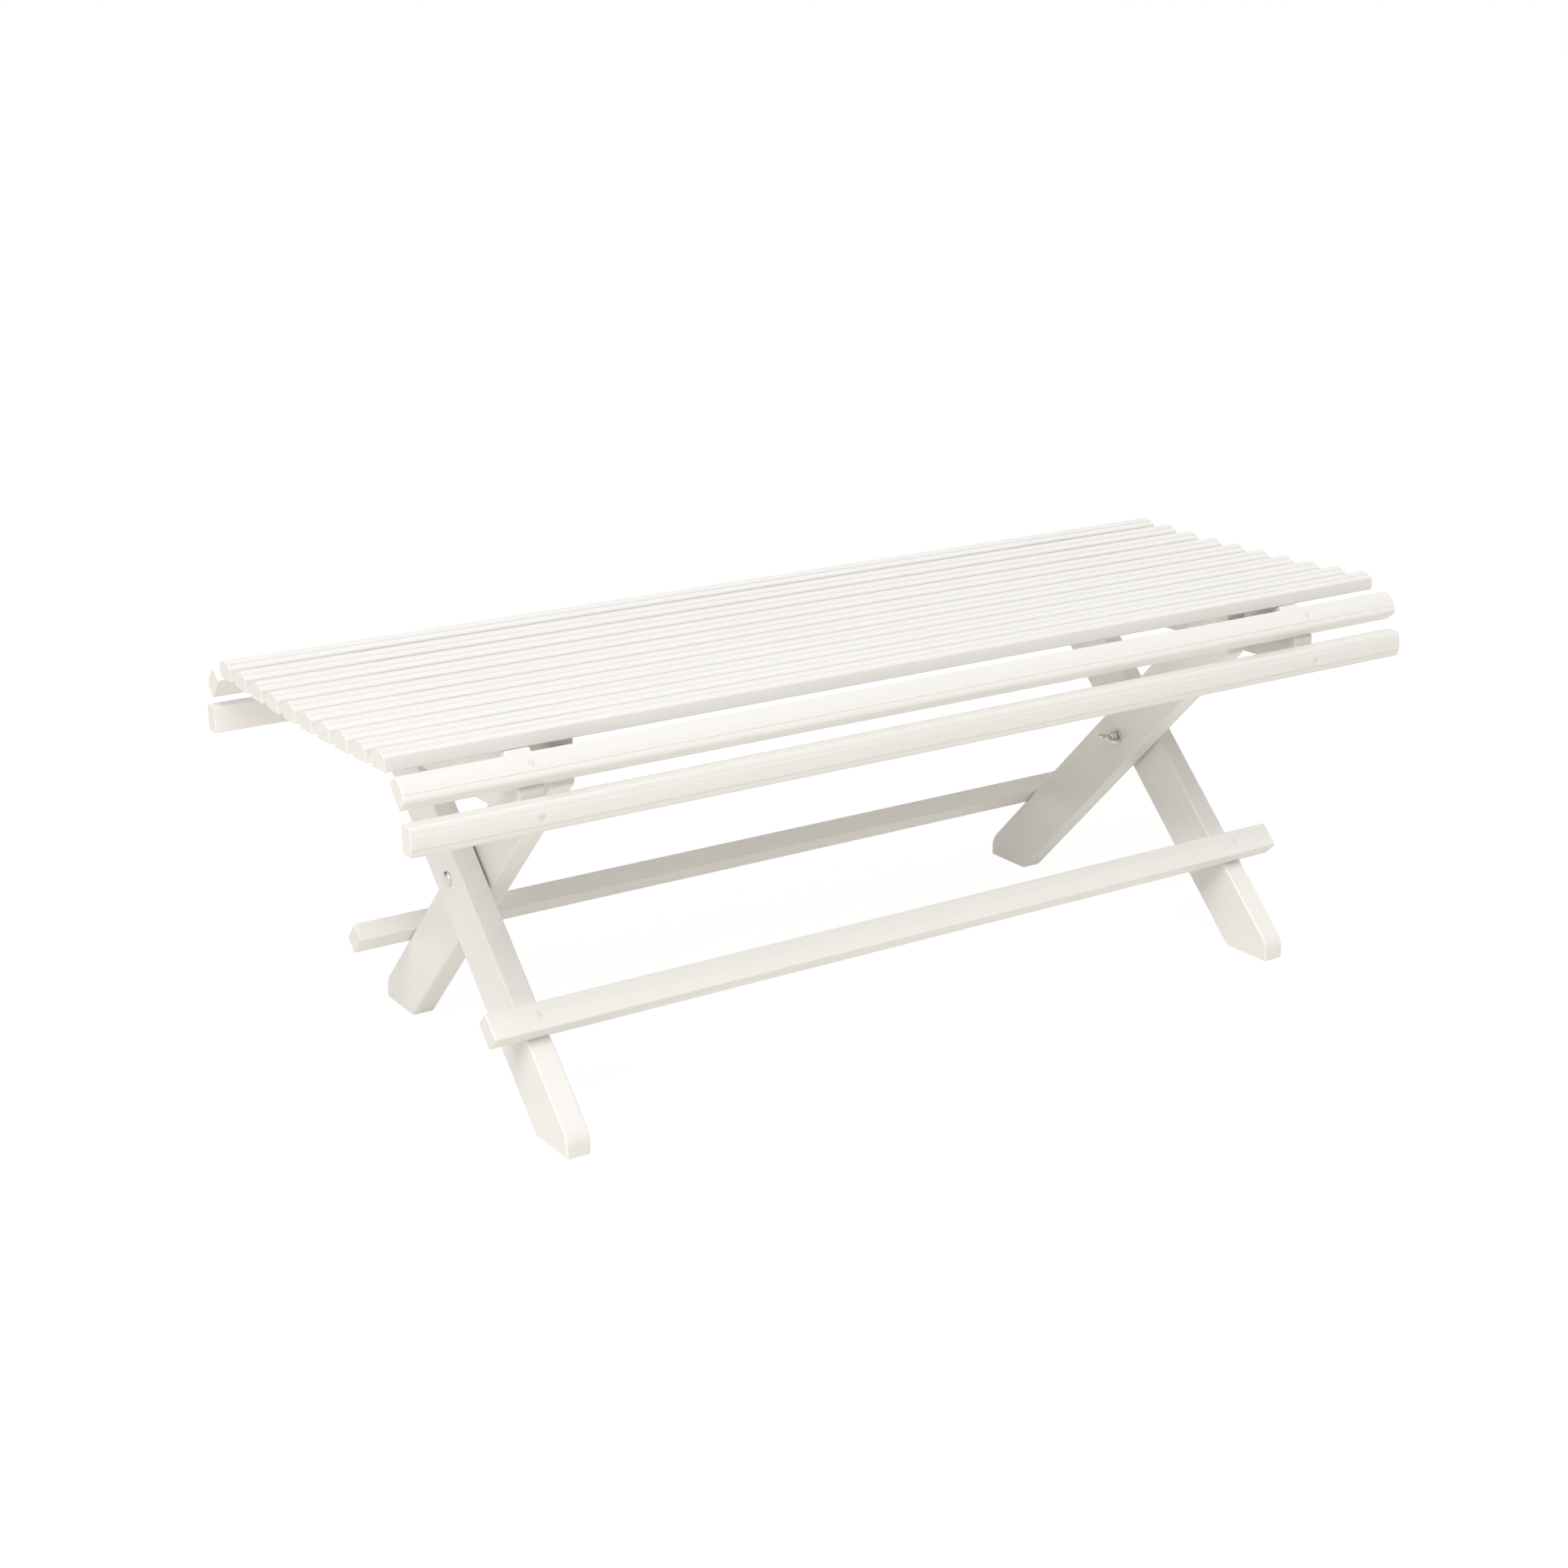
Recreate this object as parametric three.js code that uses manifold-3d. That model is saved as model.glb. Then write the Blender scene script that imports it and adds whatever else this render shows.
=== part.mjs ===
// Folding slatted bench: dished seat of D-section slats on two crossed leg pairs.
// Lengths are in mm, +Z is up, the front is -Y, and the origin is on the floor at the middle.
import * as THREE from 'three';
import { mergeVertices } from 'three/addons/utils/BufferGeometryUtils.js';
import Module from 'manifold-3d';

const wasm = await Module();
wasm.setup();

// Clearances between separate pieces.
const gap = 0.3;

// Plain ratios with no length in them.
const halfShare = 0.5;
// Mushroom head of a coach bolt: shares of its height and of its radius, from the wood out.
const mushroomShares = [[0, 1], [0.35, 0.93], [0.75, 0.66], [1, 0.28]];
const quarterTurn = Math.PI * halfShare;
const degree = Math.PI / 180;

// Slats.
const slatLength = 1200;
const slatWidth = 28;
const slatSide = 12.5;
const slatCrown = 6.5;
const slatEase = 1.2;
const slatEndEase = 1.5;
const slatGap = 13;
const topSlatCount = 10;
const crownSteps = 8;
const slatPitch = slatWidth + slatGap;
const slatThickness = slatSide + slatCrown;

// Dished seat: the underside of the slats rises by the dish depth at the outermost slats.
const seatUnderMiddle = 393.5;
const dishDepth = 4.4;
const seatEdgeY = (topSlatCount - 1) * slatPitch * halfShare;

// Edge slats at the front and the back: places measured from the outermost top slat.
// The upright ones rise from the bearers' underside.
const tiltReach = 31;
const tiltDrop = 13;
const tiltAngle = 50;
const uprightReach = 41.5;
const uprightRise = 8;
const tiltCentreY = seatEdgeY + tiltReach;
const tiltCentreZ = seatUnderMiddle - tiltDrop;
const uprightInnerY = seatEdgeY + uprightReach;

// Bearers under the seat.
const slatOverhang = 115.5;
const bearerThickness = 26;
const bearerDepth = 56;
const boardEase = 1.5;
const bearerInnerX = slatLength * halfShare - slatOverhang - bearerThickness;
const bearerBottomZ = seatUnderMiddle - bearerDepth;
const uprightCentreZ = bearerBottomZ + uprightRise;

// Washers that keep the boards apart.
const hingeWasherThickness = 2.4;
const spacerThickness = 1.9;

// Legs. Pair A runs from the front foot to the back of the seat, pair B the other way.
const legWidth = 60;
const legThickness = 25;
const crossingDrop = 181.5;
const legAngle = 45;
const footTipHeight = 21;
const legTopRoom = 0.5;
const legBTopRoom = 0.4;
const legBFrontInset = 6.5;
const legBCornerRound = 5;
const legBCornerSteps = 4;
const legATopSteps = 16;
const crossingZ = seatUnderMiddle - crossingDrop;
const legBFrontY = seatEdgeY - legBFrontInset;
const legAOuterX = bearerInnerX - hingeWasherThickness - 2 * gap;
const legAInnerX = legAOuterX - legThickness;
const legBOuterX = legAInnerX - spacerThickness - 2 * gap;
const legBInnerX = legBOuterX - legThickness;

// Stop blocks beside the bearers, hidden behind the front tilted slat.
const stopReach = 18.5;
const stopDrop = 7.5;
const stopHeight = 22;
const stopFrontY = seatEdgeY + stopReach;
const stopTopZ = seatUnderMiddle - stopDrop;
const stopBottomZ = stopTopZ - stopHeight;

// Stretchers.
const stretcherWidth = 29;
const stretcherThickness = 21;
const stretcherEase = 2.5;
const frontStretcherOverhang = 40;
const backStretcherOverhang = 62;
const frontStretcherRise = 119;
const backStretcherRise = 105;
const frontStretcherLength = 2 * (legAOuterX + frontStretcherOverhang);
const backStretcherLength = 2 * (legBOuterX + backStretcherOverhang);

// Crossing bolts, washers and wing nuts.
const crossBoltRadius = 3;
const crossHeadRadius = 8;
const crossHeadHeight = 3.6;
const crossBoltTail = 16;
const washerOuterRadius = 9;
const washerThickness = 1.6;
const wingHubWall = 3.7;
const wingHubTopWall = 2;
const wingHubHeight = 9;
const wingSpan = 34;
const wingThickness = 2.6;
const wingRise = 17;
const wingRoot = 1.5;
const wingTipRadius = 6;
const wingSteps = 8;
const wingBoreRadius = crossBoltRadius + gap;
const wingHubRadius = wingBoreRadius + wingHubWall;
const wingHubTopRadius = wingBoreRadius + wingHubTopWall;

// Hinge bolts between the bearers and leg pair A.
const hingeBoltRadius = 3;
const hingeHeadRadius = 8;
const hingeHeadHeight = 3.6;
const hingeWasherRadius = 9;
const hingeNutAcross = 10;
const hingeNutThickness = 5.2;
const hingeNutRecess = 1.2;
const hingeNutRoom = 1.5;
const hingeTailInset = 1;
const hingeNutRadius = (hingeNutAcross * halfShare) / Math.cos(Math.PI / 6);
const hingePocketRadius = hingeNutRadius + hingeNutRoom;
const hingePocketDepth = hingeNutThickness + hingeNutRecess + gap;

// Wood screws.
const screwRadius = 2;
const screwHeadRadius = 4;
const screwHeadDepth = 2.6;
const screwHeadSink = 0.6;
const edgeScrewLength = 38;
const stretcherScrewLength = 45;
const screwTip = 5;
const screwTipRadius = 0.4;
const screwSides = 12;

const roundSides = 32;
const cutMargin = 10;

const materials = {
  slats: new THREE.MeshStandardMaterial({ color: 0xf1eeea, roughness: 0.5, name: 'painted slat' }),
  frame: new THREE.MeshStandardMaterial({ color: 0xece9e4, roughness: 0.5, name: 'painted board' }),
  metal: new THREE.MeshStandardMaterial({
    color: 0xb9bcc0, roughness: 0.35, metalness: 1, name: 'zinc plated steel',
  }),
};
const group = new THREE.Group();
group.name = 'folding_slatted_bench';

// Turn a three.js geometry into a manifold body.
function toBody(geometry) {
  const bare = geometry.clone();
  bare.deleteAttribute('normal');
  bare.deleteAttribute('uv');
  const merged = mergeVertices(bare);
  const mesh = new wasm.Mesh({
    numProp: 3,
    vertProperties: new Float32Array(merged.attributes.position.array),
    triVerts: new Uint32Array(merged.index.array),
  });
  return new wasm.Manifold(mesh);
}

// Turn a manifold body back into a three.js geometry.
function toGeometry(body) {
  const mesh = body.getMesh();
  const geometry = new THREE.BufferGeometry();
  geometry.setAttribute('position', new THREE.BufferAttribute(mesh.vertProperties, 3));
  geometry.setIndex(new THREE.BufferAttribute(mesh.triVerts, 1));
  geometry.computeVertexNormals();
  return geometry;
}

function addPiece(name, body, material) {
  const mesh = new THREE.Mesh(toGeometry(body), material);
  mesh.name = name;
  group.add(mesh);
  return mesh;
}

// Extrude an outline drawn in Y and Z along X between two places, with eased edges.
function boardAlongX(points, fromX, toX, ease) {
  const shape = new THREE.Shape(points.map(([y, z]) => new THREE.Vector2(y, z)));
  const geometry = new THREE.ExtrudeGeometry(shape, {
    depth: toX - fromX - 2 * ease,
    bevelEnabled: ease > 0,
    bevelThickness: ease,
    bevelSize: ease,
    bevelOffset: -ease,
    bevelSegments: 1,
    steps: 1,
  });
  const turn = new THREE.Matrix4().makeBasis(
    new THREE.Vector3(0, 1, 0),
    new THREE.Vector3(0, 0, 1),
    new THREE.Vector3(1, 0, 0),
  );
  geometry.applyMatrix4(turn);
  geometry.translate(fromX + ease, 0, 0);
  return toBody(geometry);
}

// A body of revolution round X: pairs of place along X and radius, from low X to high X.
function roundAlongX(stations, y, z, sides) {
  const profile = stations.map(([x, radius]) => new THREE.Vector2(radius, x));
  const geometry = new THREE.LatheGeometry(profile, sides);
  geometry.rotateZ(-quarterTurn);
  geometry.translate(0, y, z);
  return toBody(geometry);
}

// A body of revolution along a direction in the Y-Z plane, starting at a point.
function roundAlong(stations, start, direction, sides) {
  const profile = stations.map(([along, radius]) => new THREE.Vector2(radius, along));
  const geometry = new THREE.LatheGeometry(profile, sides);
  const up = new THREE.Vector3(0, 1, 0);
  const towards = new THREE.Vector3(0, direction[0], direction[1]);
  geometry.applyQuaternion(new THREE.Quaternion().setFromUnitVectors(up, towards));
  geometry.translate(start[0], start[1], start[2]);
  return toBody(geometry);
}

function cylinderAlongX(fromX, toX, radius, y, z) {
  const low = Math.min(fromX, toX);
  const high = Math.max(fromX, toX);
  return roundAlongX([[low, 0], [low, radius], [high, radius], [high, 0]], y, z, roundSides);
}

// Mushroom head with its flat face at a place along X, swelling outwards.
function mushroomHead(face, end, height, radius, y, z) {
  const rim = mushroomShares.map(([up, out]) => [face + end * height * up, radius * out]);
  const stations = [[face, 0], ...rim, [face + end * height, 0]];
  return roundAlongX(end > 0 ? stations : stations.reverse(), y, z, roundSides);
}

// D-section of a slat: flat face at height 0, crown at the top, centred on y = 0.
function slatSection() {
  const half = slatWidth * halfShare;
  const points = [
    [-half + slatEase, 0], [half - slatEase, 0], [half, slatEase], [half, slatSide],
  ];
  const crownRadius = (half * half + slatCrown * slatCrown) / (2 * slatCrown);
  const spread = Math.asin(half / crownRadius);
  for (let step = 1; step < crownSteps; step += 1) {
    const angle = spread - (2 * spread * step) / crownSteps;
    const rise = crownRadius * Math.cos(angle) - (crownRadius - slatCrown);
    points.push([crownRadius * Math.sin(angle), slatSide + rise]);
  }
  points.push([-half, slatSide], [-half, slatEase]);
  return points;
}

// A slat with the middle of its flat face at a place, leaned by an angle about X.
function slatAt(y, z, lean) {
  const cosine = Math.cos(lean);
  const sine = Math.sin(lean);
  const points = slatSection().map(([u, v]) => [y + u * cosine - v * sine, z + u * sine + v * cosine]);
  const reach = slatLength * halfShare;
  return boardAlongX(points, -reach, reach, slatEndEase);
}

// Height of the dished line the slats rest on, and its slope.
const dishRate = dishDepth / (seatEdgeY * seatEdgeY);
const dishHeight = (y) => seatUnderMiddle + dishRate * y * y;
const dishLean = (y) => Math.atan(2 * dishRate * y);

// Leg frame: along runs up the leg from the crossing, across is square to it.
const legCos = Math.cos(legAngle * degree);
const legSin = Math.sin(legAngle * degree);
const legHalf = legWidth * halfShare;
// Distance down each leg from the crossing to the floor, and to the stretchers that rise from it.
const legReach = crossingZ / legSin;
const frontStretcherDrop = legReach - frontStretcherRise;
const backStretcherDrop = legReach - backStretcherRise;
// Side +1 is the leg that leans back towards its top (pair A), side -1 leans forward (pair B).
function legPoint(side, along, across) {
  const y = side * (along * legCos - across * legSin);
  const z = crossingZ + along * legSin + across * legCos;
  return [y, z];
}
// Place along the leg where one of its edges meets a height.
const alongAtHeight = (z, across) => (z - crossingZ - across * legCos) / legSin;
const hingeZ = seatUnderMiddle - legHalf - legTopRoom;
const hingeDistance = (hingeZ - crossingZ) / legSin;
const hingeY = hingeDistance * legCos;

function footOutline(side) {
  const innerSole = legPoint(side, alongAtHeight(0, -legHalf), -legHalf);
  const tipTop = legPoint(side, alongAtHeight(footTipHeight, legHalf), legHalf);
  return { innerSole, tip: [tipTop[0], 0], tipTop };
}

function legAOutline() {
  const foot = footOutline(1);
  const points = [foot.tip, foot.innerSole];
  for (let step = 0; step <= legATopSteps; step += 1) {
    const angle = -quarterTurn + (Math.PI * step) / legATopSteps;
    const along = hingeDistance + legHalf * Math.cos(angle);
    points.push(legPoint(1, along, legHalf * Math.sin(angle)));
  }
  points.push(foot.tipTop);
  return points;
}

function legBOutline() {
  const foot = footOutline(-1);
  const points = [foot.innerSole, foot.tip, foot.tipTop];
  // Height of the top cut: just under the slats where the leg's upper edge reaches them.
  let legBTopZ = seatUnderMiddle;
  for (let round = 0; round < legBCornerSteps; round += 1) {
    const edgeY = legPoint(-1, alongAtHeight(legBTopZ, legHalf), legHalf)[0];
    legBTopZ = dishHeight(edgeY) - legBTopRoom;
  }
  points.push(legPoint(-1, alongAtHeight(legBTopZ, legHalf), legHalf));
  const centreY = -legBFrontY + legBCornerRound;
  const centreZ = legBTopZ - legBCornerRound;
  for (let step = 0; step <= legBCornerSteps; step += 1) {
    const angle = quarterTurn + (quarterTurn * step) / legBCornerSteps;
    const y = centreY + legBCornerRound * Math.cos(angle);
    points.push([y, centreZ + legBCornerRound * Math.sin(angle)]);
  }
  const lowAlong = (legBFrontY - legHalf * legSin) / legCos;
  points.push(legPoint(-1, lowAlong, -legHalf));
  return points;
}

// Bearer outline, symmetric front to back.
const tilt = tiltAngle * degree;
const uprightBack = uprightInnerY - gap;
function bearerOutline() {
  // Line of the tilted slat's flat face, moved in by the gap.
  const faceY = tiltCentreY - gap * Math.sin(tilt);
  const faceZ = tiltCentreZ - gap * Math.cos(tilt);
  const slope = Math.tan(tilt);
  const endTop = faceZ - (uprightBack - faceY) * slope;
  // Where the tilted face meets the dished line, by a few rounds of substitution.
  let cornerY = faceY;
  for (let round = 0; round < crownSteps; round += 1) {
    cornerY = faceY - (dishHeight(cornerY) - gap - faceZ) / slope;
  }
  const points = [[-uprightBack, bearerBottomZ], [uprightBack, bearerBottomZ], [uprightBack, endTop]];
  for (let step = 0; step <= topSlatCount; step += 1) {
    const y = cornerY * (1 - (2 * step) / topSlatCount);
    points.push([y, dishHeight(y) - gap]);
  }
  points.push([-uprightBack, endTop]);
  return points;
}

// Screw with a countersunk head, its head face towards the start.
function screwStations(length, grow) {
  const head = screwHeadRadius + grow;
  const shank = screwRadius + grow;
  const end = length + grow;
  return [
    [grow > 0 ? -cutMargin : 0, 0],
    [grow > 0 ? -cutMargin : 0, head],
    [0, head],
    [screwHeadDepth, shank],
    [end - screwTip, shank],
    [end, screwTipRadius + grow],
    [end, 0],
  ].filter((station, place) => !(grow === 0 && place === 2));
}
function screwPair(x, y, z, direction, length) {
  const start = [x, y + direction[0] * screwHeadSink, z + direction[1] * screwHeadSink];
  const screw = roundAlong(screwStations(length, 0), start, direction, screwSides);
  const hole = roundAlong(screwStations(length, gap), start, direction, screwSides);
  return { screw, hole };
}

// Seat pieces.
const slatBodies = [];
for (let index = 0; index < topSlatCount; index += 1) {
  const y = (index - (topSlatCount - 1) * halfShare) * slatPitch;
  slatBodies.push({ name: `seat_slat_${index + 1}`, body: slatAt(y, dishHeight(y), dishLean(y)) });
}
const edgeSlats = {};
[['front', -1], ['back', 1]].forEach(([word, side]) => {
  const lean = -side * tilt;
  edgeSlats[`${word}_tilted_slat`] = slatAt(side * tiltCentreY, tiltCentreZ, lean);
  edgeSlats[`${word}_upright_slat`] = slatAt(side * uprightInnerY, uprightCentreZ, -side * quarterTurn);
});

const ends = [['left', -1], ['right', 1]];
const bearers = {};
const screws = [];
ends.forEach(([endWord, end]) => {
  const inner = end * bearerInnerX;
  const outer = end * (bearerInnerX + bearerThickness);
  const middle = (inner + outer) * halfShare;
  const low = Math.min(inner, outer);
  const high = Math.max(inner, outer);
  let bearer = boardAlongX(bearerOutline(), low, high, boardEase);
  [['front', -1], ['back', 1]].forEach(([word, side]) => {
    const tiltedIn = [-side * Math.sin(tilt), -Math.cos(tilt)];
    const tiltedY = side * (tiltCentreY + slatThickness * Math.sin(tilt));
    const tiltedZ = tiltCentreZ + slatThickness * Math.cos(tilt);
    const tilted = screwPair(middle, tiltedY, tiltedZ, tiltedIn, edgeScrewLength);
    const tiltedName = `${word}_tilted_slat`;
    edgeSlats[tiltedName] = edgeSlats[tiltedName].subtract(tilted.hole);
    bearer = bearer.subtract(tilted.hole);
    screws.push([`${word}_${endWord}_tilted_slat_screw`, tilted.screw]);

    const uprightY = side * (uprightInnerY + slatThickness);
    const upright = screwPair(middle, uprightY, uprightCentreZ, [-side, 0], edgeScrewLength);
    const uprightName = `${word}_upright_slat`;
    edgeSlats[uprightName] = edgeSlats[uprightName].subtract(upright.hole);
    bearer = bearer.subtract(upright.hole);
    screws.push([`${word}_${endWord}_upright_slat_screw`, upright.screw]);
  });
  const hingeHole = cylinderAlongX(
    low - cutMargin, high + cutMargin, hingeBoltRadius + gap, hingeY, hingeZ,
  );
  bearers[endWord] = bearer.subtract(hingeHole);
});

slatBodies.forEach(({ name, body }) => addPiece(name, body, materials.slats));
Object.entries(edgeSlats).forEach(([name, body]) => addPiece(name, body, materials.slats));
Object.entries(bearers).forEach(([word, body]) => addPiece(`${word}_bearer`, body, materials.frame));
screws.forEach(([name, body]) => addPiece(name, body, materials.metal));

// Stop blocks that the tops of legs B lean on.
ends.forEach(([endWord, end]) => {
  const outer = end * (bearerInnerX - gap);
  const inner = end * legBInnerX;
  const backY = -legBFrontY - gap;
  const points = [
    [-stopFrontY, stopBottomZ], [backY, stopBottomZ], [backY, stopTopZ], [-stopFrontY, stopTopZ],
  ];
  const block = boardAlongX(points, Math.min(outer, inner), Math.max(outer, inner), boardEase);
  addPiece(`${endWord}_leg_stop`, block, materials.frame);
});

// Stretchers, lying on the outer edges of the leg pairs.
function stretcherAt(side, drop, length, ease) {
  const low = legHalf + gap;
  const high = low + stretcherThickness;
  const half = stretcherWidth * halfShare;
  const corners = [
    [-drop - half + ease, low], [-drop + half - ease, low],
    [-drop + half, low + ease], [-drop + half, high - ease],
    [-drop + half - ease, high], [-drop - half + ease, high],
    [-drop - half, high - ease], [-drop - half, low + ease],
  ];
  let points = corners.map(([along, across]) => legPoint(side, along, across));
  if (side < 0) {
    points = points.reverse();
  }
  return boardAlongX(points, -length * halfShare, length * halfShare, slatEndEase);
}
const stretchers = {
  front: stretcherAt(1, frontStretcherDrop, frontStretcherLength, stretcherEase),
  back: stretcherAt(-1, backStretcherDrop, backStretcherLength, stretcherEase),
};
const stretcherScrews = [];

// Legs and their hardware at each end.
ends.forEach(([endWord, end]) => {
  const legAInner = end * legAInnerX;
  const legAOuter = end * legAOuterX;
  const legBInner = end * legBInnerX;
  const legBOuter = end * legBOuterX;
  const spanA = [Math.min(legAInner, legAOuter), Math.max(legAInner, legAOuter)];
  const spanB = [Math.min(legBInner, legBOuter), Math.max(legBInner, legBOuter)];
  let legA = boardAlongX(legAOutline(), spanA[0], spanA[1], boardEase);
  let legB = boardAlongX(legBOutline(), spanB[0], spanB[1], boardEase);
  const crossHole = cylinderAlongX(
    spanB[0] - 2 * cutMargin - legThickness,
    spanB[1] + 2 * cutMargin + legThickness,
    crossBoltRadius + gap,
    0,
    crossingZ,
  );
  legA = legA.subtract(crossHole);
  legB = legB.subtract(crossHole);

  // Hinge hole and the pocket that hides the nut in the inner face of leg A.
  legA = legA.subtract(cylinderAlongX(
    spanA[0] - cutMargin, spanA[1] + cutMargin, hingeBoltRadius + gap, hingeY, hingeZ,
  ));
  const pocketFloor = end * (legAInnerX + hingePocketDepth);
  legA = legA.subtract(cylinderAlongX(
    legAInner - end * cutMargin, pocketFloor, hingePocketRadius, hingeY, hingeZ,
  ));

  // Screws through the stretchers into the legs.
  [['front', 1, frontStretcherDrop], ['back', -1, backStretcherDrop]].forEach(([word, side, drop]) => {
    const middleA = (legAInner + legAOuter) * halfShare;
    const middleB = (legBInner + legBOuter) * halfShare;
    const x = side > 0 ? middleA : middleB;
    const face = legPoint(side, -drop, legHalf + gap + stretcherThickness);
    const inwards = [side * legSin, -legCos];
    const pair = screwPair(x, face[0], face[1], inwards, stretcherScrewLength);
    stretchers[word] = stretchers[word].subtract(pair.hole);
    if (side > 0) {
      legA = legA.subtract(pair.hole);
    } else {
      legB = legB.subtract(pair.hole);
    }
    stretcherScrews.push([`${word}_${endWord}_stretcher_screw`, pair.screw]);
  });
  addPiece(`${endWord}_leg_a`, legA, materials.frame);
  addPiece(`${endWord}_leg_b`, legB, materials.frame);

  // Crossing bolt: mushroom head on the outer face of leg A, tail past the wing nut.
  const headFace = end * (legAOuterX + gap);
  const tail = end * (legBInnerX - crossBoltTail);
  const head = mushroomHead(headFace, end, crossHeadHeight, crossHeadRadius, 0, crossingZ);
  const shank = cylinderAlongX(tail, headFace + end * gap, crossBoltRadius, 0, crossingZ);
  addPiece(`${endWord}_crossing_bolt`, head.add(shank), materials.metal);

  // Washer between the legs and washer under the wing nut.
  const ring = (nearX, thickness, outerRadius, boreRadius, y, z) => {
    const farX = nearX + end * thickness;
    const disc = cylinderAlongX(nearX, farX, outerRadius, y, z);
    const bore = cylinderAlongX(
      Math.min(nearX, farX) - cutMargin, Math.max(nearX, farX) + cutMargin, boreRadius, y, z,
    );
    return disc.subtract(bore);
  };
  const boltBore = crossBoltRadius + gap;
  addPiece(
    `${endWord}_crossing_spacer_washer`,
    ring(legBOuter + end * gap, spacerThickness, washerOuterRadius, boltBore, 0, crossingZ),
    materials.metal,
  );
  const washerFar = legBInner - end * (gap + washerThickness);
  addPiece(
    `${endWord}_wing_nut_washer`,
    ring(washerFar, washerThickness, washerOuterRadius, boltBore, 0, crossingZ),
    materials.metal,
  );

  // Wing nut: tapered hub with two rounded wings that rise inwards along the bolt.
  const hubBase = washerFar - end * gap;
  const hubTop = hubBase - end * wingHubHeight;
  const hubStations = [
    [hubTop, 0], [hubTop, wingHubTopRadius], [hubBase, wingHubRadius], [hubBase, 0],
  ];
  let nut = roundAlongX(end > 0 ? hubStations : hubStations.reverse(), 0, crossingZ, roundSides);
  const wingOutline = [];
  const tipCentre = wingSpan * halfShare - wingTipRadius;
  const tipHeight = wingRise - wingTipRadius;
  wingOutline.push([wingRoot, wingRoot]);
  wingOutline.push([wingHubRadius, wingRoot]);
  for (let step = 0; step <= wingSteps; step += 1) {
    const angle = -quarterTurn * halfShare + ((Math.PI + quarterTurn * halfShare) * step) / wingSteps;
    wingOutline.push([
      tipCentre + wingTipRadius * Math.cos(angle), tipHeight + wingTipRadius * Math.sin(angle),
    ]);
  }
  wingOutline.push([wingHubTopRadius, wingHubHeight]);
  wingOutline.push([wingRoot, wingHubHeight]);
  const wingShape = new THREE.Shape(wingOutline.map(([u, v]) => new THREE.Vector2(u, v)));
  const wing = new THREE.ExtrudeGeometry(wingShape, {
    depth: wingThickness, bevelEnabled: false, steps: 1,
  });
  wing.translate(0, 0, -wingThickness * halfShare);
  const wingBody = toBody(wing);
  [0, 1].forEach((turn) => {
    // The outline's first axis goes along +Y or -Y and its second along the bolt, inwards.
    const along = turn === 0 ? 1 : -1;
    const basis = new THREE.Matrix4().makeBasis(
      new THREE.Vector3(0, along, 0),
      new THREE.Vector3(-end, 0, 0),
      new THREE.Vector3(0, 0, along * end),
    );
    basis.setPosition(hubBase, 0, crossingZ);
    nut = nut.add(wingBody.transform(basis.elements));
  });
  nut = nut.subtract(cylinderAlongX(
    hubTop - end * wingRise, hubBase + end * gap, wingBoreRadius, 0, crossingZ,
  ));
  addPiece(`${endWord}_wing_nut`, nut, materials.metal);

  // Hinge bolt from the outer face of the bearer to the pocket in leg A.
  const bearerOuter = end * (bearerInnerX + bearerThickness + gap);
  const hingeTail = end * (legAInnerX + hingeTailInset);
  const hingeHead = mushroomHead(
    bearerOuter, end, hingeHeadHeight, hingeHeadRadius, hingeY, hingeZ,
  );
  const hingeShank = cylinderAlongX(
    hingeTail, bearerOuter + end * gap, hingeBoltRadius, hingeY, hingeZ,
  );
  addPiece(`${endWord}_hinge_bolt`, hingeHead.add(hingeShank), materials.metal);
  const hingeBore = hingeBoltRadius + gap;
  const hingeWasherNear = legAOuter + end * gap;
  addPiece(
    `${endWord}_hinge_washer`,
    ring(hingeWasherNear, hingeWasherThickness, hingeWasherRadius, hingeBore, hingeY, hingeZ),
    materials.metal,
  );
  const nutFar = pocketFloor - end * gap;
  const nutNear = nutFar - end * hingeNutThickness;
  const nutLow = Math.min(nutFar, nutNear);
  const nutHigh = Math.max(nutFar, nutNear);
  const hexagon = roundAlongX(
    [[nutLow, 0], [nutLow, hingeNutRadius], [nutHigh, hingeNutRadius], [nutHigh, 0]], hingeY, hingeZ, 6,
  );
  const nutBore = cylinderAlongX(
    nutLow - cutMargin, nutHigh + cutMargin, hingeBore, hingeY, hingeZ,
  );
  addPiece(`${endWord}_hinge_nut`, hexagon.subtract(nutBore), materials.metal);
});

addPiece('front_stretcher', stretchers.front, materials.frame);
addPiece('back_stretcher', stretchers.back, materials.frame);
stretcherScrews.forEach(([name, body]) => addPiece(name, body, materials.metal));

export default group;
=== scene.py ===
"""Folding slatted garden bench, painted white: the visible pieces, their finishes and the studio."""

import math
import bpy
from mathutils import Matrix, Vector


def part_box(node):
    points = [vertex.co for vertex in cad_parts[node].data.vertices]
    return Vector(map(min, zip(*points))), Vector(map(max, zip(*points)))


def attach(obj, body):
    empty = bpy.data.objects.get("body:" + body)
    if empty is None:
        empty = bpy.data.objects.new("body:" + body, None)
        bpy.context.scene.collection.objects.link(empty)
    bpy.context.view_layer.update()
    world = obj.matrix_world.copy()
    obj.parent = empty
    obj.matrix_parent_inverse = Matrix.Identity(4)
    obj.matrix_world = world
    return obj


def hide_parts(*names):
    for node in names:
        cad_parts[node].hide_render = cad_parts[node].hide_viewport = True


bl_info = {
    "name": "Folding Slatted Bench",
    "version": (1, 0, 0),
    "blender": (4, 5, 0),
    "location": "View3D > Sidebar > Bench",
    "description": "Builds a white painted folding bench with a slatted seat around its packed frame",
    "category": "Object",
}

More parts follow.
